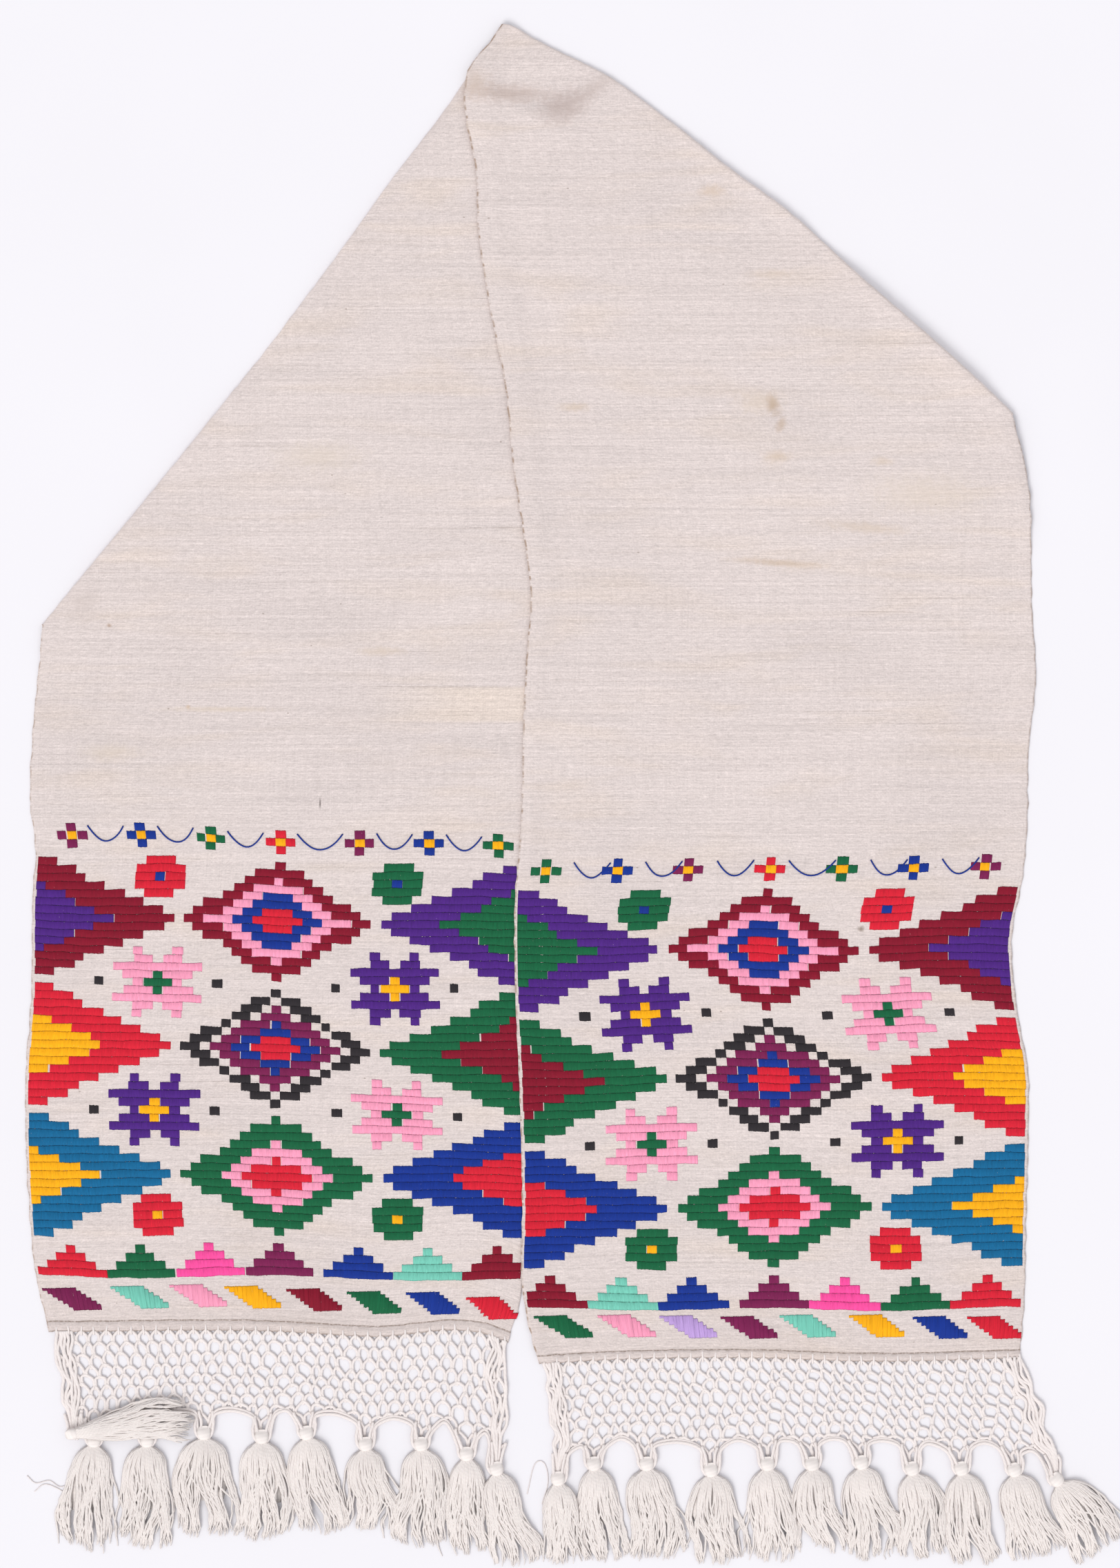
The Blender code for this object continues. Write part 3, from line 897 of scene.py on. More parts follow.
@dataclass(frozen=True)
class ThreadFinish:
    """Soft embroidery thread: fibres along each stitch, uneven stitches, and painted shade in the grooves
    between the rows.

    Its flat coordinates are the share of the way over a stitch and metres along the row.
    """

    thread: Thread
    fleck_colour: Colour = (225, 214, 206)

    def build(self, groups: SharedGroups) -> bpy.types.Material:
        """Makes the material.

        Args:
            groups: the shared node groups.

        Returns:
            The material.
        """
        material, wiring, shader = new_material("thread_" + self.thread.name.lower(), groups)
        flat = wiring.node("UVMap", uv_map="flat").outputs[0]
        over = wiring.node("SeparateXYZ", {0: flat}).outputs[0]
        fibres, stitches = wiring.streak(flat, 2.2, 2600), wiring.streak(flat, 0.5, 620)
        middle = wiring.math("ABSOLUTE", wiring.math("SUBTRACT", over, 0.5))
        # Painted shade: darker towards both edges of a row, where the rows meet in grooves
        groove_shade = wiring.ramp(middle, 0.36, 0.47, 0.75, 0.25)
        colour = wiring.shade(rgba(self.thread.value), (fibres, 0.84, 1.14), (stitches, 0.84, 1.12),
                              (wiring.streak(flat, 0.2, 11), 0.93, 1.07), (groove_shade, 0.42, 1.0))
        fleck = wiring.ramp(wiring.streak(flat, 5.0, 900), 0.70, 0.80, 0.0, 0.55)
        bump = wiring.bump(wiring.math("ADD", fibres, stitches), 0.5, 0.3 * MM)
        wiring.feed(shader, {"Base Color": wiring.tint(fleck, colour, self.fleck_colour), "Normal": bump,
                             "Roughness": 0.75, "Specular IOR Level": 0.25, "Sheen Weight": 0.06})
        return material


@dataclass(frozen=True)
class YarnFinish:
    """Soft off-white cotton yarn, loosely plied, a little darker in patches, with painted shade on its sides
    and in the ply's grooves.

    Its flat coordinates are the share of the way around and metres along the cord.
    """

    name: str = "cotton_yarn"
    colour: Colour = (240, 231, 228)
    turns: float = 260.0
    # Level of the painted shade on a yarn's sides, which face away from above
    side_shade: float = 0.95

    def build(self, groups: SharedGroups) -> bpy.types.Material:
        """Makes the material.

        Args:
            groups: the shared node groups.

        Returns:
            The material.
        """
        material, wiring, shader = new_material(self.name, groups)
        flat = wiring.node("UVMap", uv_map="flat").outputs[0]
        place = wiring.node("TexCoord").outputs["Object"]
        ply = wiring.group(groups.twist, {"Where": flat, "Turns": self.turns})
        fuzz, patches = wiring.streak(place, 2200, 2200, 2200), wiring.streak(place, 45, 30, 30)
        around = wiring.node("SeparateXYZ", {0: flat}).outputs[0]
        upward = wiring.math("SINE", wiring.times(around, 2 * math.pi))
        # Painted shade on the sides of each yarn and in the ply's grooves
        colour = wiring.shade(rgba(self.colour), (fuzz, 0.94, 1.03), (patches, 0.95, 1.02), (ply, 0.97, 1.01),
                              (wiring.ramp(upward, 0.15, 0.95, 0.25, 0.75), self.side_shade, 1.0))
        height = wiring.math("ADD", wiring.times(ply, 0.7), wiring.times(fuzz, 0.5))
        wiring.feed(shader, {"Base Color": colour, "Normal": wiring.bump(height, 0.3, 0.3 * MM),
                             "Roughness": 0.95, "Specular IOR Level": 0.15})
        return material


@dataclass
class LinenStrip:
    """The long strip of linen, from the left hem over both folds to the right hem."""

    width: float = STRIP_WIDTH
    length: float = 2.16
    thickness: float = 1.0 * MM
    thin_edge: float = 0.55
    edge_share: float = 0.01
    columns: int = 86
    panel_rows: int = 144
    bend_rows: int = 12
    middle_rows: int = 10
    under_hem: float = 5 * MM
    hem_lift: float = 0.4 * MM
    fold_wander: float = 0.4 * MM
    selvedge_wander: float = 0.5 * MM
    bend_reach: float = 1.5 * MM
    fold_guess: float = 0.9
    # Heights y between which the weft turns from the hem's line to level
    weft_turn: tuple[float, float] = (50 * MM, 300 * MM)

    def _across(self) -> Array:
        """Columns from the outer to the inner selvedge, closer together at both."""
        return np.concatenate([[0, 0.004], np.linspace(0.012, 0.988, self.columns - 4), [0.996, 1]])

    def _panel(self, end: End) -> tuple[Array, Array]:
        """One end's middle surface in even rows from below its hem up to its fold.

        Args:
            end: the laid end.

        Returns:
            Points and flat coordinates.
        """
        across = self._across()
        low = end.meet(end.hem, across, 0.0)
        high = end.meet(end.fold, across, self.fold_guess)
        high = high + self.fold_wander * drift(across * self.width, 0.012, 91)
        share = np.linspace(0, 1, self.panel_rows)[:, None]
        y = low + self.under_hem + share * (high - low - self.under_hem)
        edge = np.minimum(across, 1 - across)
        seed = 31 + int(end.side.flat_start)
        wander = self.selvedge_wander * drift(y, 0.021, seed) * np.exp(-edge / self.edge_share)
        x = end.x_at(across, y) + wander
        hem_lift = self.hem_lift * (1 - smooth_step((y - low - 0.8 * HEM_DEPTH) / (0.5 * HEM_DEPTH)))
        start, stop = self.weft_turn
        weft = y - low * (1 - smooth_step((y - start) / (stop - start)))
        flat_x = np.broadcast_to(across * self.width + end.side.flat_start, x.shape)
        return np.dstack([x, y, end.height(x, y) + hem_lift]), np.dstack([flat_x, weft])

    def _bend(self, upper: Array, lower_x: Array, lower_y: Array, fold: Table) -> Array:
        """Half-round rows from the upper layer to the middle stretch: radius x sin(angle) out of the fold.

        Args:
            upper: the upper layer's last row of points.
            lower_x: where that row comes to lie below, side positions.
            lower_y: the same, heights y.
            fold: the fold, whose ends give the way out of it.

        Returns:
            Points, rows x columns x 3.
        """
        (x_0, y_0), (x_1, y_1) = fold[0], fold[-1]
        length = math.hypot(x_1 - x_0, y_1 - y_0)
        floor = CLOTH_THICKNESS / 2
        radius = (upper[:, 2] - floor) / 2
        share = (np.arange(self.bend_rows) + 1)[:, None] / self.bend_rows
        out = np.minimum(radius, self.bend_reach) * np.sin(math.pi * share)
        x = upper[:, 0] * (1 - share) + lower_x * share - (y_1 - y_0) / length * out
        y = upper[:, 1] * (1 - share) + lower_y * share + (x_1 - x_0) / length * out
        return np.dstack([x, y, floor + radius * (1 + np.cos(math.pi * share))])

    def surface(self) -> tuple[Array, Array]:
        """Middle surface of the whole strip.

        Returns:
            Points, rows x columns x 3, and flat coordinates, rows x columns x 2.
        """
        left, left_flat = self._panel(LEFT_END)
        right, right_flat = self._panel(RIGHT_END)
        left_bend = self._bend(left[-1], left[-1, :, 0], left[-1, :, 1], LEFT_FOLD)
        right_x = right[-1, :, 0] + CORNER_SLIP * self._across() ** 6
        right_bend = self._bend(right[-1], right_x, smooth_curve(RIGHT_FOLD, right_x), RIGHT_FOLD)
        share = np.linspace(0, 1, self.middle_rows + 2)[1:-1, None, None]
        middle = left_bend[-1] * (1 - share) + right_bend[-1] * share
        points = np.concatenate([left, left_bend, middle, right_bend[::-1], right[::-1]])
        hidden = len(left_bend) + len(middle) + len(right_bend)
        steps = np.linalg.norm(np.diff(points, axis=0), axis=-1)
        run = np.cumsum(steps[len(left) - 1:len(left) - 1 + hidden], axis=0)
        hidden_flat = np.dstack([np.broadcast_to(left_flat[-1, :, 0], run.shape), left_flat[-1, :, 1] + run])
        return points, np.concatenate([left_flat, hidden_flat, right_flat[::-1]])

    def build(self, material: bpy.types.Material) -> bpy.types.Object:
        """Makes the strip as one closed sheet, half its thickness to each side of the middle surface.

        Args:
            material: the linen.

        Returns:
            The piece.
        """
        middle, flat = self.surface()
        normal = np.cross(np.gradient(middle, axis=1), np.gradient(middle, axis=0))
        normal /= np.linalg.norm(normal, axis=-1, keepdims=True)
        edge = np.minimum(self._across(), 1 - self._across())
        full = self.thin_edge + (1 - self.thin_edge) * smooth_step(edge / self.edge_share)
        half = self.thickness / 2 * full[None, :, None]
        rows, columns = middle.shape[:2]
        upper = np.arange(rows * columns).reshape(rows, columns)
        lower = upper + rows * columns
        faces = [quads(upper[:-1, :-1], upper[:-1, 1:], upper[1:, 1:], upper[1:, :-1]),
                 quads(lower[:-1, :-1], lower[1:, :-1], lower[1:, 1:], lower[:-1, 1:]),
                 quads(upper[:-1, 0], upper[1:, 0], lower[1:, 0], lower[:-1, 0]),
                 quads(upper[1:, -1], upper[:-1, -1], lower[:-1, -1], lower[1:, -1]),
                 quads(upper[0, 1:], upper[0, :-1], lower[0, :-1], lower[0, 1:]),
                 quads(upper[-1, :-1], upper[-1, 1:], lower[-1, 1:], lower[-1, :-1])]
        places = np.concatenate([flat.reshape(-1, 2)] * 2)
        points = np.concatenate([middle + normal * half, middle - normal * half]).reshape(-1, 3)
        points[:, 2] = np.maximum(points[:, 2], FLOOR_GAP)
        heap = Heap()
        heap.add(points, faces, [places[part] for part in faces])
        return heap.build("linen_strip", material)


@dataclass
class TurnedHem:
    """The narrow turned hem at one end: a raised band, puckered where the net's loops pull at its edge."""

    end: End
    loops: int
    ribs: int = 420
    stitch_pitch: float = 3.4 * MM
    stitch_depth: float = 0.35 * MM
    seam_at: float = 9.8 * MM
    seam_reach: float = 0.8 * MM
    seam_wander: float = 0.35 * MM
    edge_reach: float = 2.2 * MM
    pucker: float = 1.1 * MM
    loop_reach: float = 0.2
    dent: float = 0.22
    dent_at: float = 3 * MM
    # Section once around: rows of (distance from the lower edge, height z)
    section: Table = ((0.1, 1.0), (0.35, 0.4), (1.2, 0.06), (10.6, 0.1), (10.8, 1.1), (10.1, 1.02),
                      (9.6, 1.4), (8.7, 1.95), (5.0, 2.1), (1.4, 2.0), (0.4, 1.7))

    def build(self, material: bpy.types.Material, loop_x: tuple[float, float]) -> bpy.types.Object:
        """Carries the hem's section along its lower edge.

        The pull is a bell at each loop, and the stitches are a squared sine along the seam.

        Args:
            material: the linen.
            loop_x: side positions of the first and the last loop.

        Returns:
            The piece.
        """
        out, over = np.array(self.section).T * MM
        across = np.linspace(0, 1, self.ribs)
        if self.end.side is Side.RIGHT:
            across = across[::-1]
        low = self.end.meet(self.end.hem, across, 0.0)
        x = self.end.x_at(across, low)
        loop = (x - loop_x[0]) / (loop_x[1] - loop_x[0]) * self.loops
        pull = np.exp(-((loop - np.round(loop)) / self.loop_reach) ** 2)[:, None]
        stitch = (np.sin(math.pi * x / self.stitch_pitch + 1.5 * drift(x, 0.05, 5)) ** 2)[:, None]
        is_edge = np.exp(-out / self.edge_reach)
        is_seam = np.exp(-((out - self.seam_at) / self.seam_reach) ** 2)
        wander = self.seam_wander * drift(x, 0.012, 11)[:, None] * is_seam
        raised = self.end.hem_narrower * (1 - out / out.max())
        y = low[:, None] + out + raised + pull * is_edge * self.pucker + wander
        dented = over * (1 - self.dent * pull * np.exp(-((out - self.dent_at) / self.dent_at) ** 2))
        z = dented - self.stitch_depth * stitch * is_seam * (over > MM)
        x_wide = self.end.x_at(across[:, None], y)
        rings = np.dstack([x_wide, y, np.maximum(z, FLOOR_GAP)])[None, :, ::-1]
        along = (across * STRIP_WIDTH + self.end.side.flat_start)[None]
        heap = Heap()
        heap.sweep(rings, along, np.append(out[::-1], out[-1]))
        heap.flats = [flat[..., ::-1] for flat in heap.flats]
        return heap.build("hem_" + self.end.side.value, material)


@dataclass
class Chart:
    """A counted pattern: a thread's number for each square of the band, or -1 where bare, from the hem up."""

    rows: int = 56
    columns: int = 49
    squares: Array = field(init=False)

    def __post_init__(self) -> None:
        """Starts with bare linen."""
        self.squares = np.full((self.rows, self.columns), -1)

    def _away(self, row: float, column: float) -> tuple[Array, Array]:
        """Rows and columns from a middle square, for every square."""
        rows, columns = np.indices(self.squares.shape)
        return np.abs(rows - row), np.abs(columns - column)

    def fill(self, where: Array, thread: Thread | None) -> None:
        """Fills the squares of a mask."""
        self.squares[where] = -1 if thread is None else list(Thread).index(thread)

    def rhombus(self, row: float, column: float, high: float, wide: float,
                rings: tuple[tuple[float, Thread | None], ...]) -> None:
        """Stepped rhombus in nested rings.

        A square's distance is rows away / high + columns away / wide, so it is 1 at the rim.

        Args:
            row: middle row.
            column: middle column.
            high: half its height in rows.
            wide: half its width in columns.
            rings: rows of (outer distance, thread), from the rim inwards.
        """
        down, side = self._away(row, column)
        distance = down / high + side / wide
        for outer, thread in rings:
            self.fill(distance < outer, thread)

    def star(self, row: int, column: int, petals: Thread, core: Thread) -> None:
        """Eight-pointed star: a square of five, and eight slanted petals that reach four squares out.

        Args:
            row: middle row.
            column: middle column.
            petals: thread of the star.
            core: thread of its five middle squares.
        """
        down, side = self._away(row, column)
        far, near = np.maximum(down, side), np.minimum(down, side)
        self.fill((far <= 2) | ((far == 3) & (near >= 1) & (near <= 2)) | ((far == 4) & (near == 2)), petals)
        self.fill(down + side <= 1, core)

    def cross(self, row: int, column: int, petals: Thread, core: Thread, reach: int = 1) -> None:
        """Four petals around one core square.

        Args:
            row: middle row.
            column: middle column.
            petals: thread of the petals.
            core: thread of the core.
            reach: how many squares the petals reach out.
        """
        down, side = self._away(row, column)
        far, near = np.maximum(down, side), np.minimum(down, side)
        self.fill((far <= reach) & (near <= reach - 1), petals)
        self.fill(far == 0, core)

    def pyramid(self, column: int, wide: int, thread: Thread) -> None:
        """Stepped triangle on the lowest rows, one square narrower on each side for each row up."""
        down, side = self._away(0, column)
        self.fill(side <= wide - down, thread)

    def runs(self) -> list[tuple[int, int, int, int]]:
        """Stretches of one thread in one row.

        Returns:
            Rows of (thread's number, row, first column, column after the last).
        """
        found = []
        for row, squares in enumerate(self.squares):
            edges = np.flatnonzero(np.diff(squares, prepend=-2, append=-2))
            for start, stop in zip(edges[:-1], edges[1:]):
                if squares[start] >= 0:
                    found.append((int(squares[start]), row, int(start), int(stop)))
        return found


def foot_columns() -> list[int]:
    """Middle columns of the seven triangles at the foot of the band, and of the crosses along its top."""
    return [3 + 7 * number + number // 4 for number in range(7)]


def lattice_chart(mirrored: bool) -> Chart:
    """The band's pattern: three medallions up the middle, large teeth on both selvedges, stars between.

    Args:
        mirrored: swaps left and right.

    Returns:
        The chart.
    """
    chart = Chart()
    middle, last, beside = chart.columns // 2, chart.columns - 1, 12
    heights = (12, 28, 44)
    high, tooth, medallion_wide = 7.7, 14, 9.6
    medallions = (
        ((1.0, Thread.GREEN), (0.62, Thread.PINK), (0.34, Thread.RED)),
        ((1.0, Thread.BLACK), (0.82, None), (0.72, Thread.PLUM), (0.46, Thread.BLUE), (0.24, Thread.RED)),
        ((1.0, Thread.CRIMSON), (0.74, Thread.PINK), (0.5, Thread.BLUE), (0.24, Thread.RED)),
    )
    outer_teeth = (
        ((1.0, Thread.TEAL), (0.46, Thread.YELLOW)),
        ((1.0, Thread.RED), (0.5, Thread.YELLOW)),
        ((1.0, Thread.CRIMSON), (0.54, Thread.VIOLET)),
    )
    inner_teeth = (
        ((1.0, Thread.BLUE), (0.5, Thread.RED)),
        ((1.0, Thread.GREEN), (0.52, Thread.CRIMSON)),
        ((1.0, Thread.VIOLET), (0.54, Thread.GREEN)),
    )
    for row, medallion, outer, inner in zip(heights, medallions, outer_teeth, inner_teeth):
        chart.rhombus(row, 0, high, tooth, outer)
        chart.rhombus(row, last, high, tooth, inner)
        chart.rhombus(row, middle, high, medallion_wide, medallion)
    for row, left, right in ((20, Thread.VIOLET, Thread.PINK), (36, Thread.PINK, Thread.VIOLET)):
        for column, petals in ((beside, left), (last - beside, right)):
            chart.star(row, column, petals, Thread.YELLOW if petals is Thread.VIOLET else Thread.GREEN)
            for side in (-6, 6):
                chart.squares[row, column + side] = list(Thread).index(Thread.BLACK)
    for column, petals in ((beside, Thread.RED), (last - beside, Thread.GREEN)):
        chart.cross(7, column, petals, Thread.YELLOW, 2)
        chart.cross(49, column, petals, Thread.BLUE, 2)
    feet = (Thread.RED, Thread.GREEN, Thread.ROSE, Thread.PLUM, Thread.BLUE, Thread.MINT, Thread.CRIMSON)
    for column, foot in zip(foot_columns(), feet):
        chart.pyramid(column, 3, foot)
    crowns = (Thread.PLUM, Thread.BLUE, Thread.GREEN, Thread.RED, Thread.PLUM, Thread.BLUE, Thread.GREEN)
    for column, crown in zip(foot_columns(), crowns):
        chart.cross(54, column, crown, Thread.YELLOW)
    if mirrored:
        chart.squares = chart.squares[:, ::-1].copy()
    return chart


@dataclass
class StitchedEnd:
    """The embroidery of one end: the counted band, its garland and the slanted lozenges at the hem."""

    end: End
    chart: Chart
    bottom: tuple[float, float]
    top: tuple[float, float]
    lozenge_y: tuple[float, ...]
    lozenge_x: tuple[float, ...]
    lozenge_threads: tuple[Thread, ...]
    seed: int
    stitch: float = 1.5 * MM
    overlap: float = 0.36 * MM
    lift: float = 0.5 * MM
    crown: float = 0.75 * MM
    inset: float = 0.006
    row_pitch: float = 6.6 * MM
    row_wander: float = 0.32 * MM
    row_sway: float = 1.6 * MM
    ragged: float = 0.13 * MM
    # The garland: its cord's radius and height, then in squares the arcs' top row, sag and gap to a cross
    stem: float = 0.7 * MM
    stem_lift: float = 0.75 * MM
    arc_top: float = 55.6
    arc_sag: float = 1.9
    arc_gap: float = 1.7
    lozenge: tuple[float, float] = (45 * MM, 18.5 * MM)
    lozenge_slant: float = 21.5 * MM
    lozenge_steps: int = 6
    lozenge_stitch: float = 1.3 * MM
    piles: dict[Thread, Heap] = field(default_factory=dict)

    def _across(self, share: Array) -> Array:
        """From the share of the way from left to right to the share from the outer to the inner selvedge."""
        share = self.inset + share * (1 - 2 * self.inset)
        return 1 - share if self.end.side is Side.RIGHT else share

    def _row_y(self, share: Array, row: float) -> Array:
        """Height y of the line below a row of stitches: even rows, and two wanders along them.

        Args:
            share: places from left to right.
            row: number of the row.

        Returns:
            The height y at each place.
        """
        low = (self.bottom[0] + (self.bottom[1] - self.bottom[0]) * share) * MM
        high = (self.top[0] + (self.top[1] - self.top[0]) * share) * MM
        x = share * STRIP_WIDTH
        wander = self.row_wander * drift(x, 0.034, self.seed + int(row))
        sway = self.row_sway * drift_over(x, np.full_like(share, row * self.row_pitch), 0.21, self.seed)
        return low + (high - low) * row / self.chart.rows + wander + sway

    def satin(self, share: Array, lower: Array, upper: Array, rng: np.random.Generator,
              thread: Thread) -> None:
        """Lays one stretch of satin stitches side by side.

        Each rib has a rounded section from its lower to its upper edge, and the ribs are high at each thread
        and low between threads.

        Args:
            share: place of each rib from left to right across the band.
            lower: height y of each rib's lower edge.
            upper: height y of each rib's upper edge.
            rng: draws the unevenness.
            thread: the thread.
        """
        ribs = len(share)
        across = self._across(share)[:, None]
        lower, upper = lower - self.overlap, upper + self.overlap
        length = np.maximum(upper - lower, 0.4 * MM)
        shoulder = np.minimum(0.7 * MM / length, 0.3)[:, None]
        over = np.concatenate([np.ones((ribs, 1)), 1 - shoulder, np.full((ribs, 1), 0.5), shoulder,
                               np.zeros((ribs, 1))], axis=1)
        y = lower[:, None] + length[:, None] * over
        x = self.end.x_at(across, y)
        rise = np.where(np.arange(ribs) % 2 == 1, 1.0, 0.6) * rng.uniform(0.85, 1.12, ribs)
        rise[[0, -1]] = 0.3
        profile = np.array([-0.35, 0.72, 1.0, 0.72, -0.35])
        z = self.end.height(x, y) + self.lift + self.crown * profile * rise[:, None]
        along = share * STRIP_WIDTH + rng.uniform(0, 9)
        heap = self.piles.setdefault(thread, Heap())
        heap.sweep(np.dstack([x, y, z])[None], along[None], np.array([0.99, 0.9, 0.5, 0.1, 0.01, 0.0]))

    def lay_band(self) -> None:
        """Stitches every run of the chart, with uneven ends and edges."""
        rng = np.random.default_rng(self.seed)
        threads = list(Thread)
        for number, row, start, stop in self.chart.runs():
            ends = (np.array([start, stop]) + rng.uniform(-0.1, 0.1, 2)) / self.chart.columns
            ends = np.clip(ends, 0, 1)
            stitches = max(3, round((ends[1] - ends[0]) * STRIP_WIDTH / self.stitch))
            share = np.linspace(*ends, 2 * stitches + 1)
            ragged = rng.normal(0, self.ragged, (2, len(share)))
            lower, upper = self._row_y(share, row) + ragged[0], self._row_y(share, row + 1) + ragged[1]
            self.satin(share, lower, upper, rng, threads[number])

    def lay_lozenges(self) -> None:
        """Stitches the lozenges, whose slanted sides go down to the right in small steps of uneven treads."""
        rng = np.random.default_rng(self.seed + 1)
        (width, height), slant, steps = self.lozenge, self.lozenge_slant, self.lozenge_steps
        tread = slant / steps
        for middle, centre, thread in zip(self.lozenge_x, self.lozenge_y, self.lozenge_threads):
            corners = np.arange(1, steps) * tread * rng.uniform(0.94, 1.06, steps - 1)
            at = np.linspace(0, width, 2 * round(width / self.lozenge_stitch) + 1)
            turns = np.concatenate([corners, width - slant + corners])
            at = np.sort(np.concatenate([at, turns - 0.04 * MM, turns + 0.04 * MM]))
            rise = 1 - np.searchsorted(corners, at) / steps
            fall = np.searchsorted(width - slant + corners, at) / steps
            rise[at > slant] = 0
            x = middle * MM - width / 2 + at
            wave = 0.03 * (at - width / 2) + rng.normal(0, 0.16 * MM, len(at))
            upper = centre * MM + height * (0.5 - 0.9 * fall) + wave
            lower = centre * MM + height * (0.9 * rise - 0.5) + wave + rng.normal(0, 0.12 * MM, len(at))
            share = self._share_at(x, np.full_like(x, centre * MM))
            self.satin(share, lower, np.maximum(upper, lower + 2 * MM), rng, thread)

    def _share_at(self, x: Array, y: Array) -> Array:
        """Share of the way from left to right across the band, between the selvedges at that height.

        Args:
            x: side positions.
            y: heights y.

        Returns:
            The share.
        """
        outer, inner = smooth_curve(self.end.outer, y), smooth_curve(self.end.inner, y)
        left, right = np.minimum(outer, inner), np.maximum(outer, inner)
        return ((x - left) / (right - left) - self.inset) / (1 - 2 * self.inset)

    def lay_garland(self) -> None:
        """Stem-stitched arcs that hang between the small crosses along the top, each a parabola."""
        columns = [column + 0.5 for column in foot_columns()]
        base = self.chart.rows - 2
        turn = np.linspace(0, 1, 15)
        paths = []
        for first, second in zip(columns[:-1], columns[1:]):
            share = (first + self.arc_gap + (second - first - 2 * self.arc_gap) * turn) / self.chart.columns
            row = self.arc_top - self.arc_sag * (1 - (2 * turn - 1) ** 2)
            low, high = self._row_y(share, base), self._row_y(share, base + 1)
            y = low + (high - low) * (row - base)
            x = self.end.x_at(self._across(share), y)
            paths.append(np.column_stack([x, y, self.end.height(x, y) + self.stem_lift]))
        heap = self.piles.setdefault(Thread.BLUE, Heap())
        heap.cords(np.array(paths), self.stem, 5)


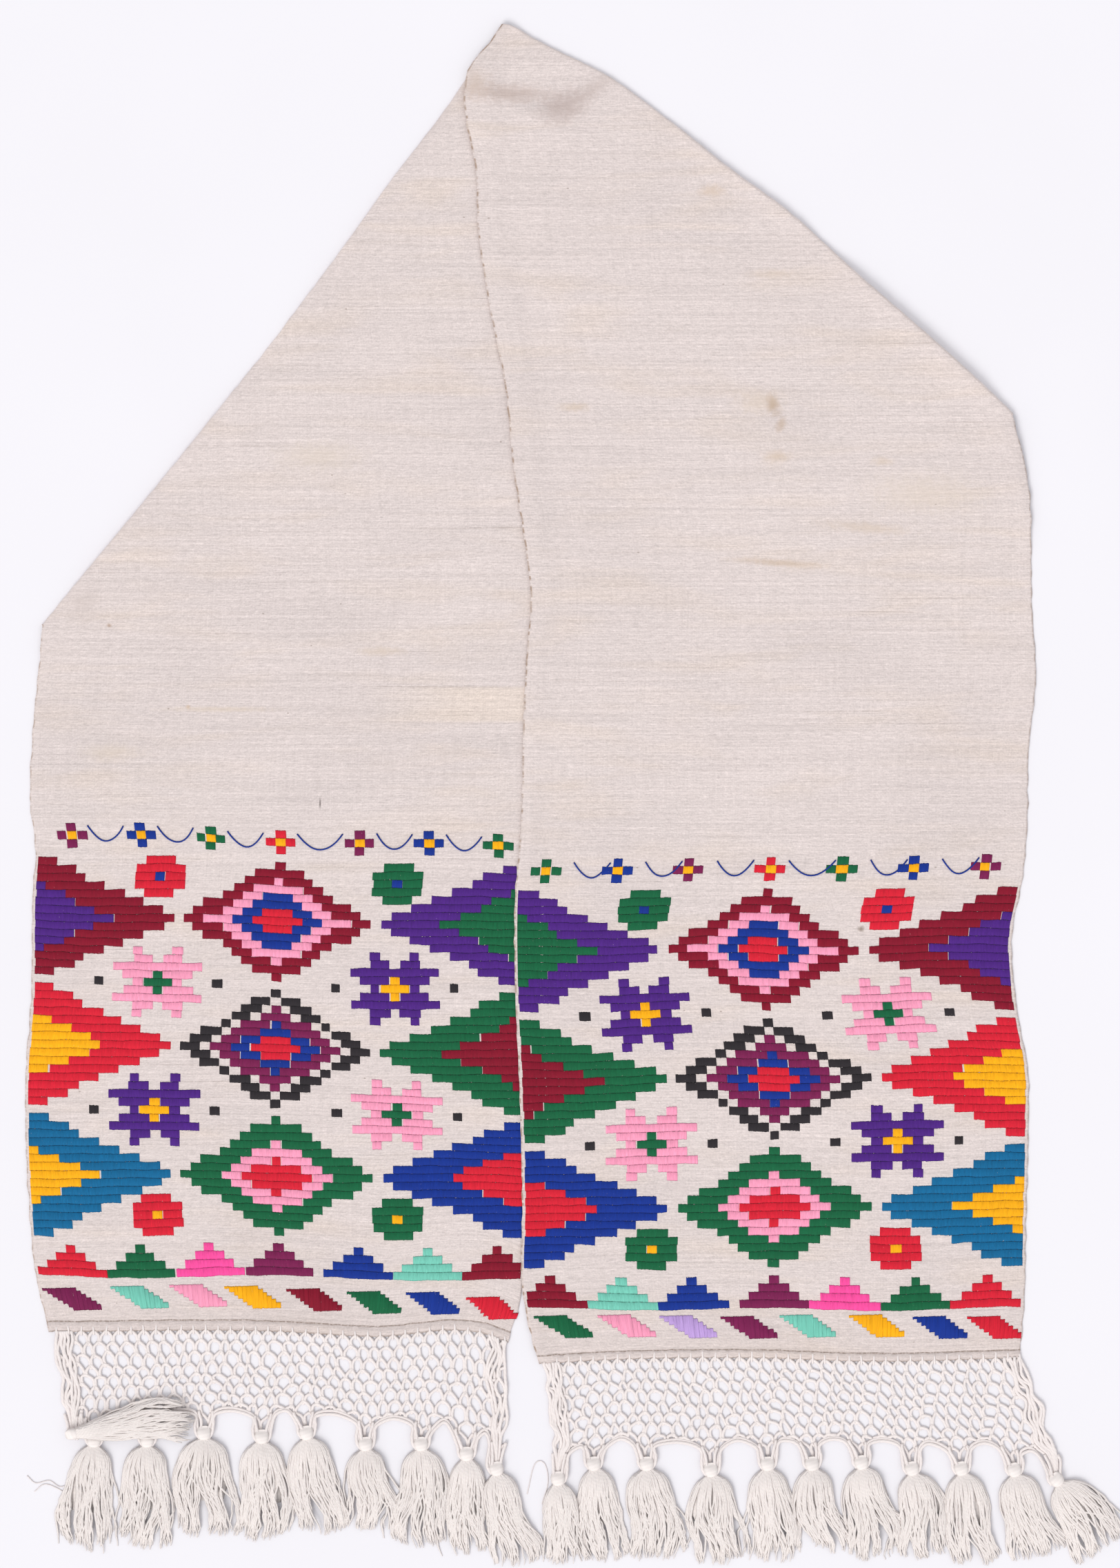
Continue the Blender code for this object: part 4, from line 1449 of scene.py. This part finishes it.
@dataclass
class KnottedNet:
    """The net at one end: waves of soft cord hooked through the waves above, and arches between tassels.

    A place in the net is (s, r): s counts meshes from left to right and r counts rows down from the hem.
    """

    end: End
    tassels: Table
    ends: tuple[float, float]
    foot: tuple[float, float]
    meshes: int
    lean: float
    seed: int
    rows: int = 8
    row_share: float = 0.111
    cord: float = 1.35 * MM
    sides: int = 5
    press: float = 0.5
    lift: float = 0.34 * MM
    shallow: float = 0.6
    end_cords: tuple[float, ...] = (0.02, 0.22, 0.44, 0.66, 0.92, 1.2)
    end_sway: float = 0.13
    end_pull: float = 0.85
    # Loops over the hem, in millimetres: heights y above the hem's edge, and heights z
    loop_rise: tuple[float, ...] = (5.2, 4.6, 2.6, 0.6, -0.9, -2.4)
    loop_height: tuple[float, ...] = (1.3, 1.9, 2.1, 2.0, 1.5, 1.1)
    # Arches, in millimetres: sides of a head's neck and shoulder, heights y along a head, and heights z
    neck: float = 2.6
    shoulder: float = 5.6
    shoulder_top: float = 0.9
    head_heights: tuple[float, ...] = (-5.0, -0.6, 5.5)
    arch_heights: tuple[float, ...] = (2.6, 3.0, 2.6, 1.6, 1.2, 1.6, 2.6, 3.0, 2.6)
    # Half a mesh's wave, from its crest down to its trough: rows of (side in meshes, depth in rows)
    wave: Table = ((0, -0.12), (0.08, -0.07), (0.19, 0.05), (0.33, 0.22), (0.405, 0.38), (0.43, 0.62),
                   (0.42, 0.9), (0.445, 1.04), (0.5, 1.12))

    @property
    def posts(self) -> list[float]:
        """Place of each tassel's middle, below the nearest crest of the last row.

        Returns:
            Meshes from the left.
        """
        heads = np.array([t[0] for t in self.tassels])
        share = (heads - self.foot[0]) / (self.foot[1] - self.foot[0])
        half = 0.5 if self.rows % 2 == 0 else 0.0
        return (np.clip(np.round(share * self.meshes - half), 1 - 2 * half, self.meshes - 1) + half).tolist()

    @property
    def bed(self) -> float:
        """Height z of a pressed cord that lies on the floor, with a little air below it."""
        return 1.15 * self.press * self.cord

    def place(self, s: Array, r: Array) -> tuple[Array, Array]:
        """Side and height of a place in the net.

        A place lies on a straight line from the hem to the level of the tassels' heads, by a share that grows
        row by row. Two wanders are added, a slow and a fine one, both of which grow away from the hem.

        Args:
            s: meshes from the left.
            r: rows below the hem.

        Returns:
            Side x and height y.
        """
        s, r = np.broadcast_arrays(np.asarray(s, float), np.asarray(r, float))
        share = r * self.row_share
        top_x = (self.ends[0] + (self.ends[1] - self.ends[0]) * s / self.meshes) * MM
        top_y = self.end.hem_y(top_x) - 0.2 * MM
        posts = [0.0, *self.posts, self.meshes]
        foot_x = [self.foot[0] + 3, *(t[0] for t in self.tassels), self.foot[1] - 3]
        foot_y = [t[1] for t in self.tassels]
        foot_y = np.array([foot_y[0], *foot_y, foot_y[-1]]) * MM + HEAD_LENGTH / 2
        x = top_x + (np.interp(s, posts, foot_x) * MM - top_x) * np.maximum(share, 0) ** 1.25
        y = top_y + (np.interp(s, posts, foot_y) - top_y) * share
        x = x + self.lean * 40 * MM * share * (1 - share)
        loose = smooth_step(r / 2) * MM
        slow, fine = 0.05, 0.02
        seed = self.seed
        x = x + (1.4 * drift_over(x, y, slow, seed) + 1.5 * drift_over(x, y, fine, seed + 1)) * loose
        y = y + (1.1 * drift_over(x, y, slow, seed + 2) + 1.3 * drift_over(x, y, fine, seed + 3)) * loose
        return x, y

    def _foot(self, post: float, c: Array, r: Array) -> tuple[Array, Array]:
        """Place above a tassel, drawn together towards its head.

        Args:
            post: place of the tassel's middle.
            c: meshes to the side of that.
            r: rows below the hem.

        Returns:
            Side x and height y.
        """
        x, y = self.place(np.full_like(c, post), r)
        side_x, side_y = self.place(post + c, r)
        closing = smooth_step((r - self.rows + 0.6) / 1.8)
        return x + (side_x - x) * (1 - 0.55 * closing), y + (side_y - y) * (1 - closing)

    def _mesh(self, start: float, count: int) -> tuple[Array, Array, Array]:
        """Runs a row's wave through some meshes.

        Args:
            start: place of its first crest.
            count: how many meshes.

        Returns:
            Places in meshes and depths in rows, and the lift, which is high at the crests.
        """
        half = np.array(self.wave)
        whole = np.concatenate([half, half[-2:0:-1] * (-1, 1) + (1, 0)])
        mesh, step = np.divmod(np.arange(len(whole) * count + 1), len(whole))
        lift = self.lift * np.cos(math.pi * np.abs(step / len(whole) - np.round(step / len(whole)))) ** 2
        return start + mesh + whole[step, 0], whole[step, 1], lift

    def _rows(self) -> list[Array]:
        """Cords of the full rows, each one wave through all its meshes.

        The last row hangs deep above tassels alone.

        Returns:
            The path of each cord.
        """
        cords = []
        for row in range(self.rows):
            s, depth, lift = self._mesh((row % 2) / 2, self.meshes - row % 2)
            if row == self.rows - 1:
                away = np.abs(s[:, None] - np.array(self.posts)).min(axis=1)
                shallower = 1 - self.shallow * smooth_step((away - 0.5) / 0.4)
                depth = depth * np.where(depth > 0, shallower, 1)
            x, y = self.place(s, row + depth)
            cords.append(np.column_stack([x, y, self.bed + lift]))
        return cords

    def _feet(self) -> list[Array]:
        """Cords above each tassel: one open mesh, and two strands from its sides into the head.

        Returns:
            The path of each cord.
        """
        cords = []
        turn = np.linspace(0, 1, 12)
        for post, tassel in zip(self.posts, self.tassels):
            head = np.array(tassel[:2]) * MM
            s, depth, lift = self._mesh(-0.5, 1)
            x, y = self._foot(post, s, self.rows + depth)
            cords.append(np.column_stack([x, y, self.bed + lift]))
            for side in (-1, 1):
                beside = side * (0.62 + 0.1 * np.sin(math.pi * turn))
                x, y = self._foot(post, beside, self.rows - 0.3 + 1.2 * turn)
                x = x + (head[0] + side * 3.4 * MM - x) * smooth_step((turn - 0.35) / 0.65)
                y = y + (head[1] + 2.5 * MM - y) * smooth_step((turn - 0.4) / 0.6)
                cords.append(np.column_stack([x, y, self.cord + (0.4 + 2.0 * turn) * MM]))
        return cords

    def _arches(self) -> Array:
        """Twin strands that rise from one tassel, arch below the net and come down round the next one's head.

        Each follows a smooth curve through nine places, in millimetres: neck, side and top of one head, three
        below the net, and top, side and neck of the next head.

        Returns:
            Cords x points x 3.
        """
        cords = []
        at = np.linspace(0, 8, 60)
        for (post, tassel), (following, other) in zip(zip(self.posts, self.tassels),
                                                      zip(self.posts[1:], self.tassels[1:])):
            for twin in (-1, 1):
                span = following - post
                s = np.array([post + 0.9, post + 0.5 * span, following - 0.9])
                top = self.rows - np.array([0.15, 0.62, 0.15]) + 0.11 * twin
                x, y = (part / MM for part in self.place(s, top))
                reach = self.shoulder + twin
                out = np.array([self.neck + twin, reach, reach + self.shoulder_top])
                up = np.array(self.head_heights)
                x = np.concatenate([tassel[0] + out, x, (other[0] - out)[::-1]])
                y = np.concatenate([tassel[1] + up, y, (other[1] + up)[::-1]])
                z = np.array(self.arch_heights) + 0.35 * (1 + twin)
                cords.append(route_through(np.column_stack([x, y, z]), at))
        return np.array(cords)

    def _side_cords(self) -> Array:
        """Cords down both sides, side by side and swaying a little, from the hem into the end tassels.

        Returns:
            Cords x points x 3.
        """
        fall = np.linspace(-0.02, 1, 60)
        offsets = np.array(self.end_cords)
        s = np.concatenate([offsets, self.meshes - offsets])[:, None]
        sway = np.array([drift(fall, 0.34, self.seed + 20 + number) for number in range(len(s))])
        x, y = self.place(s + self.end_sway * sway, fall[None] * 0.95 / self.row_share)
        head = np.repeat([self.tassels[0][:2], self.tassels[-1][:2]], len(offsets), axis=0) * MM
        pull = smooth_step((fall - 0.74) / 0.26) * self.end_pull
        x = x + (head[:, :1] - x) * pull
        y = y + (head[:, 1:] + 3 * MM - y) * smooth_step((fall - 0.86) / 0.14)
        return np.dstack([x, y, self.cord + 0.4 * MM * (1 + np.roll(sway, 1, axis=0))])

    def _hem_loops(self) -> Array:
        """Cords that come out of the hem and over its lower edge at each mesh.

        Returns:
            Cords x points x 3.
        """
        s = np.arange(self.meshes + 1).astype(float)
        rise, z = np.array(self.loop_rise), np.array(self.loop_height) * MM
        x, y = self.place(s[:, None], 0.0)
        y = y + rise * MM * (1 + 0.16 * drift(s, 3.0, self.seed + 3)[:, None])
        lean = np.clip(rise, 0, 9) * 0.12 * MM * drift(s, 2.0, self.seed + 4)[:, None]
        return np.dstack([x + lean, y, np.broadcast_to(z, y.shape)])

    def build(self, material: bpy.types.Material) -> bpy.types.Object:
        """Makes the net's cords.

        Args:
            material: the yarn.

        Returns:
            The piece.
        """
        rng = np.random.default_rng(self.seed)
        heap = Heap()
        for path in (*self._rows(), *self._feet()):
            radii = self.cord * rng.uniform(0.88, 1.12, (1, len(path)))
            heap.cords(path[None], radii, self.sides, self.press)
        for paths, thick in ((self._side_cords(), 1.0), (self._hem_loops(), 0.6), (self._arches(), 0.95)):
            heap.cords(paths, self.cord * thick * rng.uniform(0.9, 1.1, paths.shape[:2]), 6, self.press)
        return heap.build("knotted_" + self.end.side.value, material)


@dataclass
class Tassel:
    """One tassel: a smooth round head and a skirt, drawn in below it, of soft crinkled yarns that cross."""

    side: Side
    number: int
    row: tuple[float, ...]
    yarns: int = 38
    layers: int = 2
    yarn: float = 0.9 * MM
    layer_gap: float = 0.95 * MM
    clumps: int = 5
    gathering: float = 0.42
    fray: float = 0.16
    # How far the skirt, its clumps, its strands and its yarns sway to the side, in millimetres
    skirt_sway: float = 5.0
    clump_sway: float = 3.6
    strand_sway: float = 2.0
    crimp: float = 0.75
    crossing_share: float = 0.3
    crossing_reach: float = 8.5
    # The head, in millimetres: half its length and width, the folded one's half width, its middle's height z
    head_half: float = 5.8
    head_wide: float = 6.0
    head_pressed: float = 4.6
    head_middle: float = 3.4
    # How far its top stands over its middle, and how deep the hollow in it is
    head_high: float = 3.3
    hollow: float = 2.6

    @property
    def name(self) -> str:
        """Name of the solid that this tassel stands for."""
        return f"tassel_{self.side.value}_{self.number}"

    @property
    def folded_up(self) -> bool:
        """Whether the skirt lies above the head, over the net."""
        return self.row[3] > self.row[1]

    @property
    def floor(self) -> float:
        """Height that the tassel lies on: the floor, or the net where it is folded up over it."""
        return CORD_REACH + PIECE_GAP if self.folded_up else 0.0

    @property
    def length(self) -> float:
        """Length from the head's middle to the skirt's end, in millimetres."""
        return math.hypot(self.row[2] - self.row[0], self.row[3] - self.row[1])

    @property
    def half(self) -> float:
        """Half the skirt's width at its end, in millimetres."""
        return self.row[4] * (1.3 if self.folded_up else 1.16)

    def _wide(self, at: Array) -> Array:
        """Half the skirt's width: drawn in below the head, then broad shoulders.

        Args:
            at: distances from the head in millimetres.

        Returns:
            The half width in millimetres.
        """
        if self.folded_up:
            table = ((0, 4.0), (8, 5.0), (20, 8.4), (40, 12.2), (self.length, self.half),
                     (self.length + 9, self.half))
        else:
            table = ((0, 4.4), (6, 4.8), (9, 0.34 * self.half + 2.4), (14, 0.52 * self.half + 2.8),
                     (24, 0.68 * self.half + 2.2), (42, 0.86 * self.half), (self.length, 1.04 * self.half),
                     (self.length + 9, 1.04 * self.half))
        return smooth_curve(table, at * MM) / MM

    def _high(self, at: Array) -> Array:
        """The skirt's height at a distance from the head, in metres."""
        table = ((0, 4.6), (6.5, 4.8), (13, 6.8), (32, 6.6), (self.length, 4.2), (self.length + 9, 3.4))
        return smooth_curve(table, at * MM) * (1.3 if self.folded_up else 1.0)

    def _sway(self, at: Array) -> Array:
        """How far the whole skirt swings to the side, growing along it. In millimetres."""
        return self.skirt_sway * smooth_step(at / self.length) * drift(at * MM, 0.12, 900 + self.number)

    def build(self, material: bpy.types.Material) -> bpy.types.Object:
        """Makes the core of the skirt, its yarns and the head.

        Args:
            material: the yarn.

        Returns:
            The piece.
        """
        heap = Heap()
        at, side_by, over, radii = self._yarns()
        heap.cords(self._lay(at, side_by, over), radii, 4)
        self._core(heap)
        self._head(heap)
        return heap.build(self.name + "_yarns", material)

    def _lay(self, at: Array, side_by: Array, over: Array) -> Array:
        """Turns places in the tassel into points: the head's middle + at x ahead + side_by x across.

        Args:
            at: distances from the head in millimetres.
            side_by: distances to the side in millimetres.
            over: heights above what the tassel lies on, in metres.

        Returns:
            The points.
        """
        head, end = np.array(self.row[:2]), np.array(self.row[2:4])
        ahead = (end - head) / self.length
        across = np.array([ahead[1], -ahead[0]])
        flat = head + at[..., None] * ahead + side_by[..., None] * across
        return np.concatenate([flat * MM, (over + self.floor)[..., None]], axis=-1)

    def _yarns(self) -> tuple[Array, Array, Array, Array]:
        """Lays the skirt's yarns over its core, in millimetres along and across it.

        A yarn keeps its place from side to side as a share of the skirt's half width there. Neighbours sway
        together in clumps, each has a finer crimp of its own, and a few wander across the others.

        Returns:
            Places along and across in millimetres, heights and radii in metres, all yarns x points.
        """
        rng = np.random.default_rng(100 * self.number + (7 if self.side is Side.LEFT else 13))
        total = self.yarns * self.layers
        layer = np.repeat(np.arange(self.layers), self.yarns)
        place = np.tile(np.linspace(-1, 1, self.yarns), self.layers) + rng.uniform(-0.03, 0.03, total)
        place[layer == 1] *= 0.93
        share = np.concatenate([[0, 0.03, 0.06, 0.1], np.linspace(0.145, 1, 18)])
        cuts = np.sort(rng.uniform(-0.85, 0.85, self.clumps - 1))
        clump = np.searchsorted(cuts, place)
        middles = [place[clump == key].mean() if (clump == key).any() else 0.0 for key in range(self.clumps)]
        middle = np.array(middles)[clump]
        reach = (self.length - 2) * (1.06 - 0.07 * rng.random(total) - 0.07 * place**2
                                     + rng.uniform(-0.05, 0.05, self.clumps)[clump])
        at = 3.5 + share * reach[:, None]
        grown = smooth_step((at - 8) / (0.75 * self.length))
        gathered = self.gathering * smooth_step((share - 0.5) / 0.5)
        place = place[:, None] + (middle - place)[:, None] * gathered
        strand = rng.integers(0, 2, total) + 10 * np.round(5 * (place[:, 0] + 2)) + 400 * layer
        crimps = np.array([drift(row * MM, 0.017, int(rng.integers(1 << 30))) for row in at])
        sways = np.array([drift(row * MM, 0.07, 31 * self.number + int(key)) for row, key in zip(at, strand)])
        keys = 7 * self.number + 50 + clump
        swings = np.array([drift(row * MM, 0.09, int(key)) for row, key in zip(at, keys)])
        crosses = (layer == 1)[:, None] * (rng.random((total, 1)) < self.crossing_share)
        crossing = crosses * rng.normal(0, self.crossing_reach, (total, 1))
        wide, sway = self._wide(at), self._sway(at)
        swaying = self.crimp * crimps + self.strand_sway * sways + self.clump_sway * swings
        side_by = place * (wide - 0.6) + swaying * grown**0.7 + crossing * grown**1.3 + sway
        arch = np.sqrt(np.clip(1 - (np.clip(side_by - sway, -wide, wide) / wide) ** 2, 0, 1))
        top = (self._high(at) - 2 * self.yarn) * arch
        over = self.yarn + top - (self.layer_gap * (1 - layer))[:, None] * arch + 0.22 * MM * crimps
        fray = smooth_step((share - 1 + self.fray) / self.fray)
        over = over * (1 - 0.45 * fray)
        radii = self.yarn * rng.uniform(0.86, 1.1, (total, 1)) * (1 - 0.6 * fray)
        return at, side_by, np.maximum(over, 1.1 * radii), radii

    def _core(self, heap: Heap) -> None:
        """The mass of yarns below the top ones: a flat loaf, half an ellipse over its width at each ring.

        Args:
            heap: takes the loaf.
        """
        angle = np.linspace(0, math.pi, 15)
        at = np.array([3.0, 5.0, 7.0, 9, 12, 16, 21, 28, 38, 50, 62, 74, 86, 98])
        at = at / at[-1] * (self.length - 24)
        ending = smooth_step((at - 0.45 * self.length) / (0.3 * self.length))
        wide = ((self._wide(at) - 1.0) * (1 - 0.45 * ending))[:, None]
        high = ((self._high(at) - 2.4 * MM) * (1 - 0.75 * ending))[:, None]
        ribs = 1 - 0.05 * (np.arange(15) % 2)
        side_by = wide * np.cos(angle) * ribs + self._sway(at)[:, None]
        over = 0.15 * MM + high * np.sin(angle) * ribs
        rings = self._lay(np.broadcast_to(at[:, None], side_by.shape), side_by, over)
        heap.sweep(rings[None], (at * MM)[None])

    def _head(self, heap: Heap) -> None:
        """A round head, an ellipse at each ring along it, with a hollow on top where the strands go in.

        Args:
            heap: takes the head.
        """
        angle = np.arange(16) * 2 * math.pi / 16
        turn = np.linspace(0.06, 0.97, 11)
        swell = (np.sin(math.pi * turn) ** 0.6)[:, None]
        at = np.broadcast_to((0.6 - self.head_half * np.cos(math.pi * turn))[:, None], (11, 16))
        pressed_in = np.exp(-((turn - 0.22) / 0.17) ** 2)[:, None] * np.clip(np.sin(angle), 0, 1) ** 1.5
        over = (self.head_middle + np.sin(angle) * self.head_high * swell - self.hollow * pressed_in) * MM
        wide = self.head_pressed if self.folded_up else self.head_wide
        heap.sweep(self._lay(at, wide * swell * np.cos(angle), over)[None], at[None, :, 0] * MM)


@dataclass
class LooseThreads:
    """A few thin stray threads that lie beside the tassels."""

    routes: tuple[Table, ...] = (
        ((-398, -107), (-391, -113), (-380, -111), (-371, -116), (-360, -112)),
        ((-392, -120), (-384, -114), (-374, -117), (-366, -122)),
        ((8, -122), (14, -98), (22, -97), (25, -112), (20, -130)),
    )
    radius: float = 0.38 * MM
    lift: float = 0.5 * MM

    def build(self, material: bpy.types.Material) -> bpy.types.Object:
        """Lays each thread along a smooth line through its route.

        Args:
            material: the yarn.

        Returns:
            The piece.
        """
        heap = Heap()
        for route in self.routes:
            path = route_through(np.array(route, float), np.linspace(0, len(route) - 1, 22))
            path = np.column_stack([path, np.full(len(path), self.lift)])
            heap.cords(path[None], self.radius, 4)
        return heap.build("loose_threads", material)


@dataclass(frozen=True)
class Studio:
    """Plain pale floor, soft daylight from the lower left, and a camera straight above."""

    centre: tuple[float, float] = (-0.0106, 0.0073)
    frame_height: float = 1.2729
    camera_height: float = 2.6
    film: float = 36.0
    floor_size: float = 8.0
    floor_colour: Colour = (237, 235, 239)
    sun_strength: float = 1.5
    sun_width: float = math.radians(32)
    sun_turn: tuple[float, float, float] = (math.radians(38), math.radians(-30), 0.0)
    sun_colour: tuple[float, float, float] = (1.0, 0.985, 0.965)
    sky_colour: tuple[float, float, float, float] = (0.97, 0.975, 1.0, 1.0)
    sky_strength: float = 0.82

    def build(self, groups: SharedGroups) -> None:
        """Adds the floor, the light, the sky and the camera.

        Args:
            groups: the shared node groups.
        """
        scene = bpy.context.scene
        bpy.ops.mesh.primitive_plane_add(size=self.floor_size, location=(0, 0, 0))
        floor = bpy.context.object
        floor.name = "floor"
        material, wiring, shader = new_material("floor_sheet", groups)
        mottle = wiring.streak(wiring.node("TexCoord").outputs["Object"], 3, 3, 3)
        colour = wiring.shade(rgba(self.floor_colour), (mottle, 0.985, 1.01))
        wiring.feed(shader, {"Base Color": colour, "Roughness": 0.9, "Specular IOR Level": 0.1})
        floor.data.materials.append(material)

        light = bpy.data.lights.new("window_light", "SUN")
        light.energy = self.sun_strength
        light.angle = self.sun_width
        light.color = self.sun_colour
        lamp = bpy.data.objects.new("window_light", light)
        lamp.rotation_euler = self.sun_turn
        scene.collection.objects.link(lamp)

        world = bpy.data.worlds.new("sky")
        world.use_nodes = True
        sky = Wiring(world.node_tree)
        sky.feed(world.node_tree.nodes["Background"], {0: self.sky_colour, 1: self.sky_strength})
        scene.world = world

        camera = bpy.data.cameras.new("camera")
        camera.sensor_fit = "VERTICAL"
        camera.sensor_height = self.film
        camera.lens = self.film * self.camera_height / self.frame_height
        holder = bpy.data.objects.new("camera", camera)
        holder.location = (*self.centre, self.camera_height)
        scene.collection.objects.link(holder)
        scene.camera = holder
        scene.view_settings.view_transform = "Standard"


def dress(piece: bpy.types.Object, slot: str | None, *nodes: str) -> bpy.types.Object:
    """Rides a piece on the towel and hides the solids that it stands for.

    Args:
        piece: the piece.
        slot: not used.
        nodes: the solids.

    Returns:
        The piece.
    """
    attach(piece, "root")
    if nodes:
        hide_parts(*nodes)
    return piece


def stitched_ends() -> tuple[StitchedEnd, StitchedEnd]:
    """The two embroidered ends, each with its lozenges' heights y, side positions x and threads.

    Returns:
        The left and the right end.
    """
    left = StitchedEnd(
        LEFT_END, lattice_chart(False), (57, 52), (424, 412),
        (36.4, 38.0, 39.2, 38.0, 35.8, 33.6, 33.0, 29.1),
        (-361.2, -306.3, -258.7, -214.5, -164.6, -115.9, -68.3, -20.2),
        (Thread.PLUM, Thread.MINT, Thread.PINK, Thread.YELLOW, Thread.CRIMSON, Thread.GREEN, Thread.BLUE,
         Thread.RED),
        200)
    right = StitchedEnd(
        RIGHT_END, lattice_chart(True), (28, 30), (393, 397),
        (14.0, 14.6, 14.0, 13.4, 14.6, 14.6, 13.4, 13.4),
        (37.5, 89.0, 138.9, 188.2, 235.8, 291.8, 343.3, 387.2),
        (Thread.GREEN, Thread.PINK, Thread.LILAC, Thread.PLUM, Thread.MINT, Thread.YELLOW, Thread.BLUE,
         Thread.RED),
        400)
    return left, right


def build_embroidery(groups: SharedGroups) -> list[bpy.types.Object]:
    """Makes one piece for each thread colour, over both ends.

    Args:
        groups: the shared node groups.

    Returns:
        The pieces.
    """
    ends = stitched_ends()
    for stitched in ends:
        stitched.lay_band()
        stitched.lay_lozenges()
        stitched.lay_garland()
    pieces = []
    for thread in Thread:
        heap = Heap()
        for stitched in ends:
            heap.take(stitched.piles.get(thread, Heap()))
        piece = heap.build("stitches_" + thread.name.lower(), ThreadFinish(thread).build(groups))
        pieces.append(dress(piece, None))
    return pieces


def main() -> None:
    """Loads the part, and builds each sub-assembly around it."""
    logging.basicConfig(level=logging.INFO, format="%(name)s: %(message)s")
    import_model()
    groups = SharedGroups()
    Studio().build(groups)
    linen = LinenFinish().build(groups)
    cord = YarnFinish().build(groups)
    skirt = YarnFinish("tassel_yarn", (242, 234, 230), 330.0, 0.8).build(groups)
    strip = LinenStrip()
    cloth = dress(strip.build(linen), "linen", "cloth")
    nets = (KnottedNet(LEFT_END, LEFT_TASSELS, (-374, -10), (-370, -8), 36, 0.12, 61),
            KnottedNet(RIGHT_END, RIGHT_TASSELS, (22, 408), (24, 446), 39, 0.35, 71))
    for net in nets:
        hem = TurnedHem(net.end, net.meshes)
        dress(hem.build(linen, (net.ends[0] * MM, net.ends[1] * MM)), "linen")
        dress(net.build(cord), "yarn", "net_" + net.end.side.value)
    build_embroidery(groups)
    for side, table in ((Side.LEFT, LEFT_TASSELS), (Side.RIGHT, RIGHT_TASSELS)):
        for number, row in enumerate(table):
            tassel = Tassel(side, number, row)
            dress(tassel.build(skirt), "yarn", tassel.name)
    dress(LooseThreads().build(cord), "yarn")


if __name__ == "__main__":
    main()
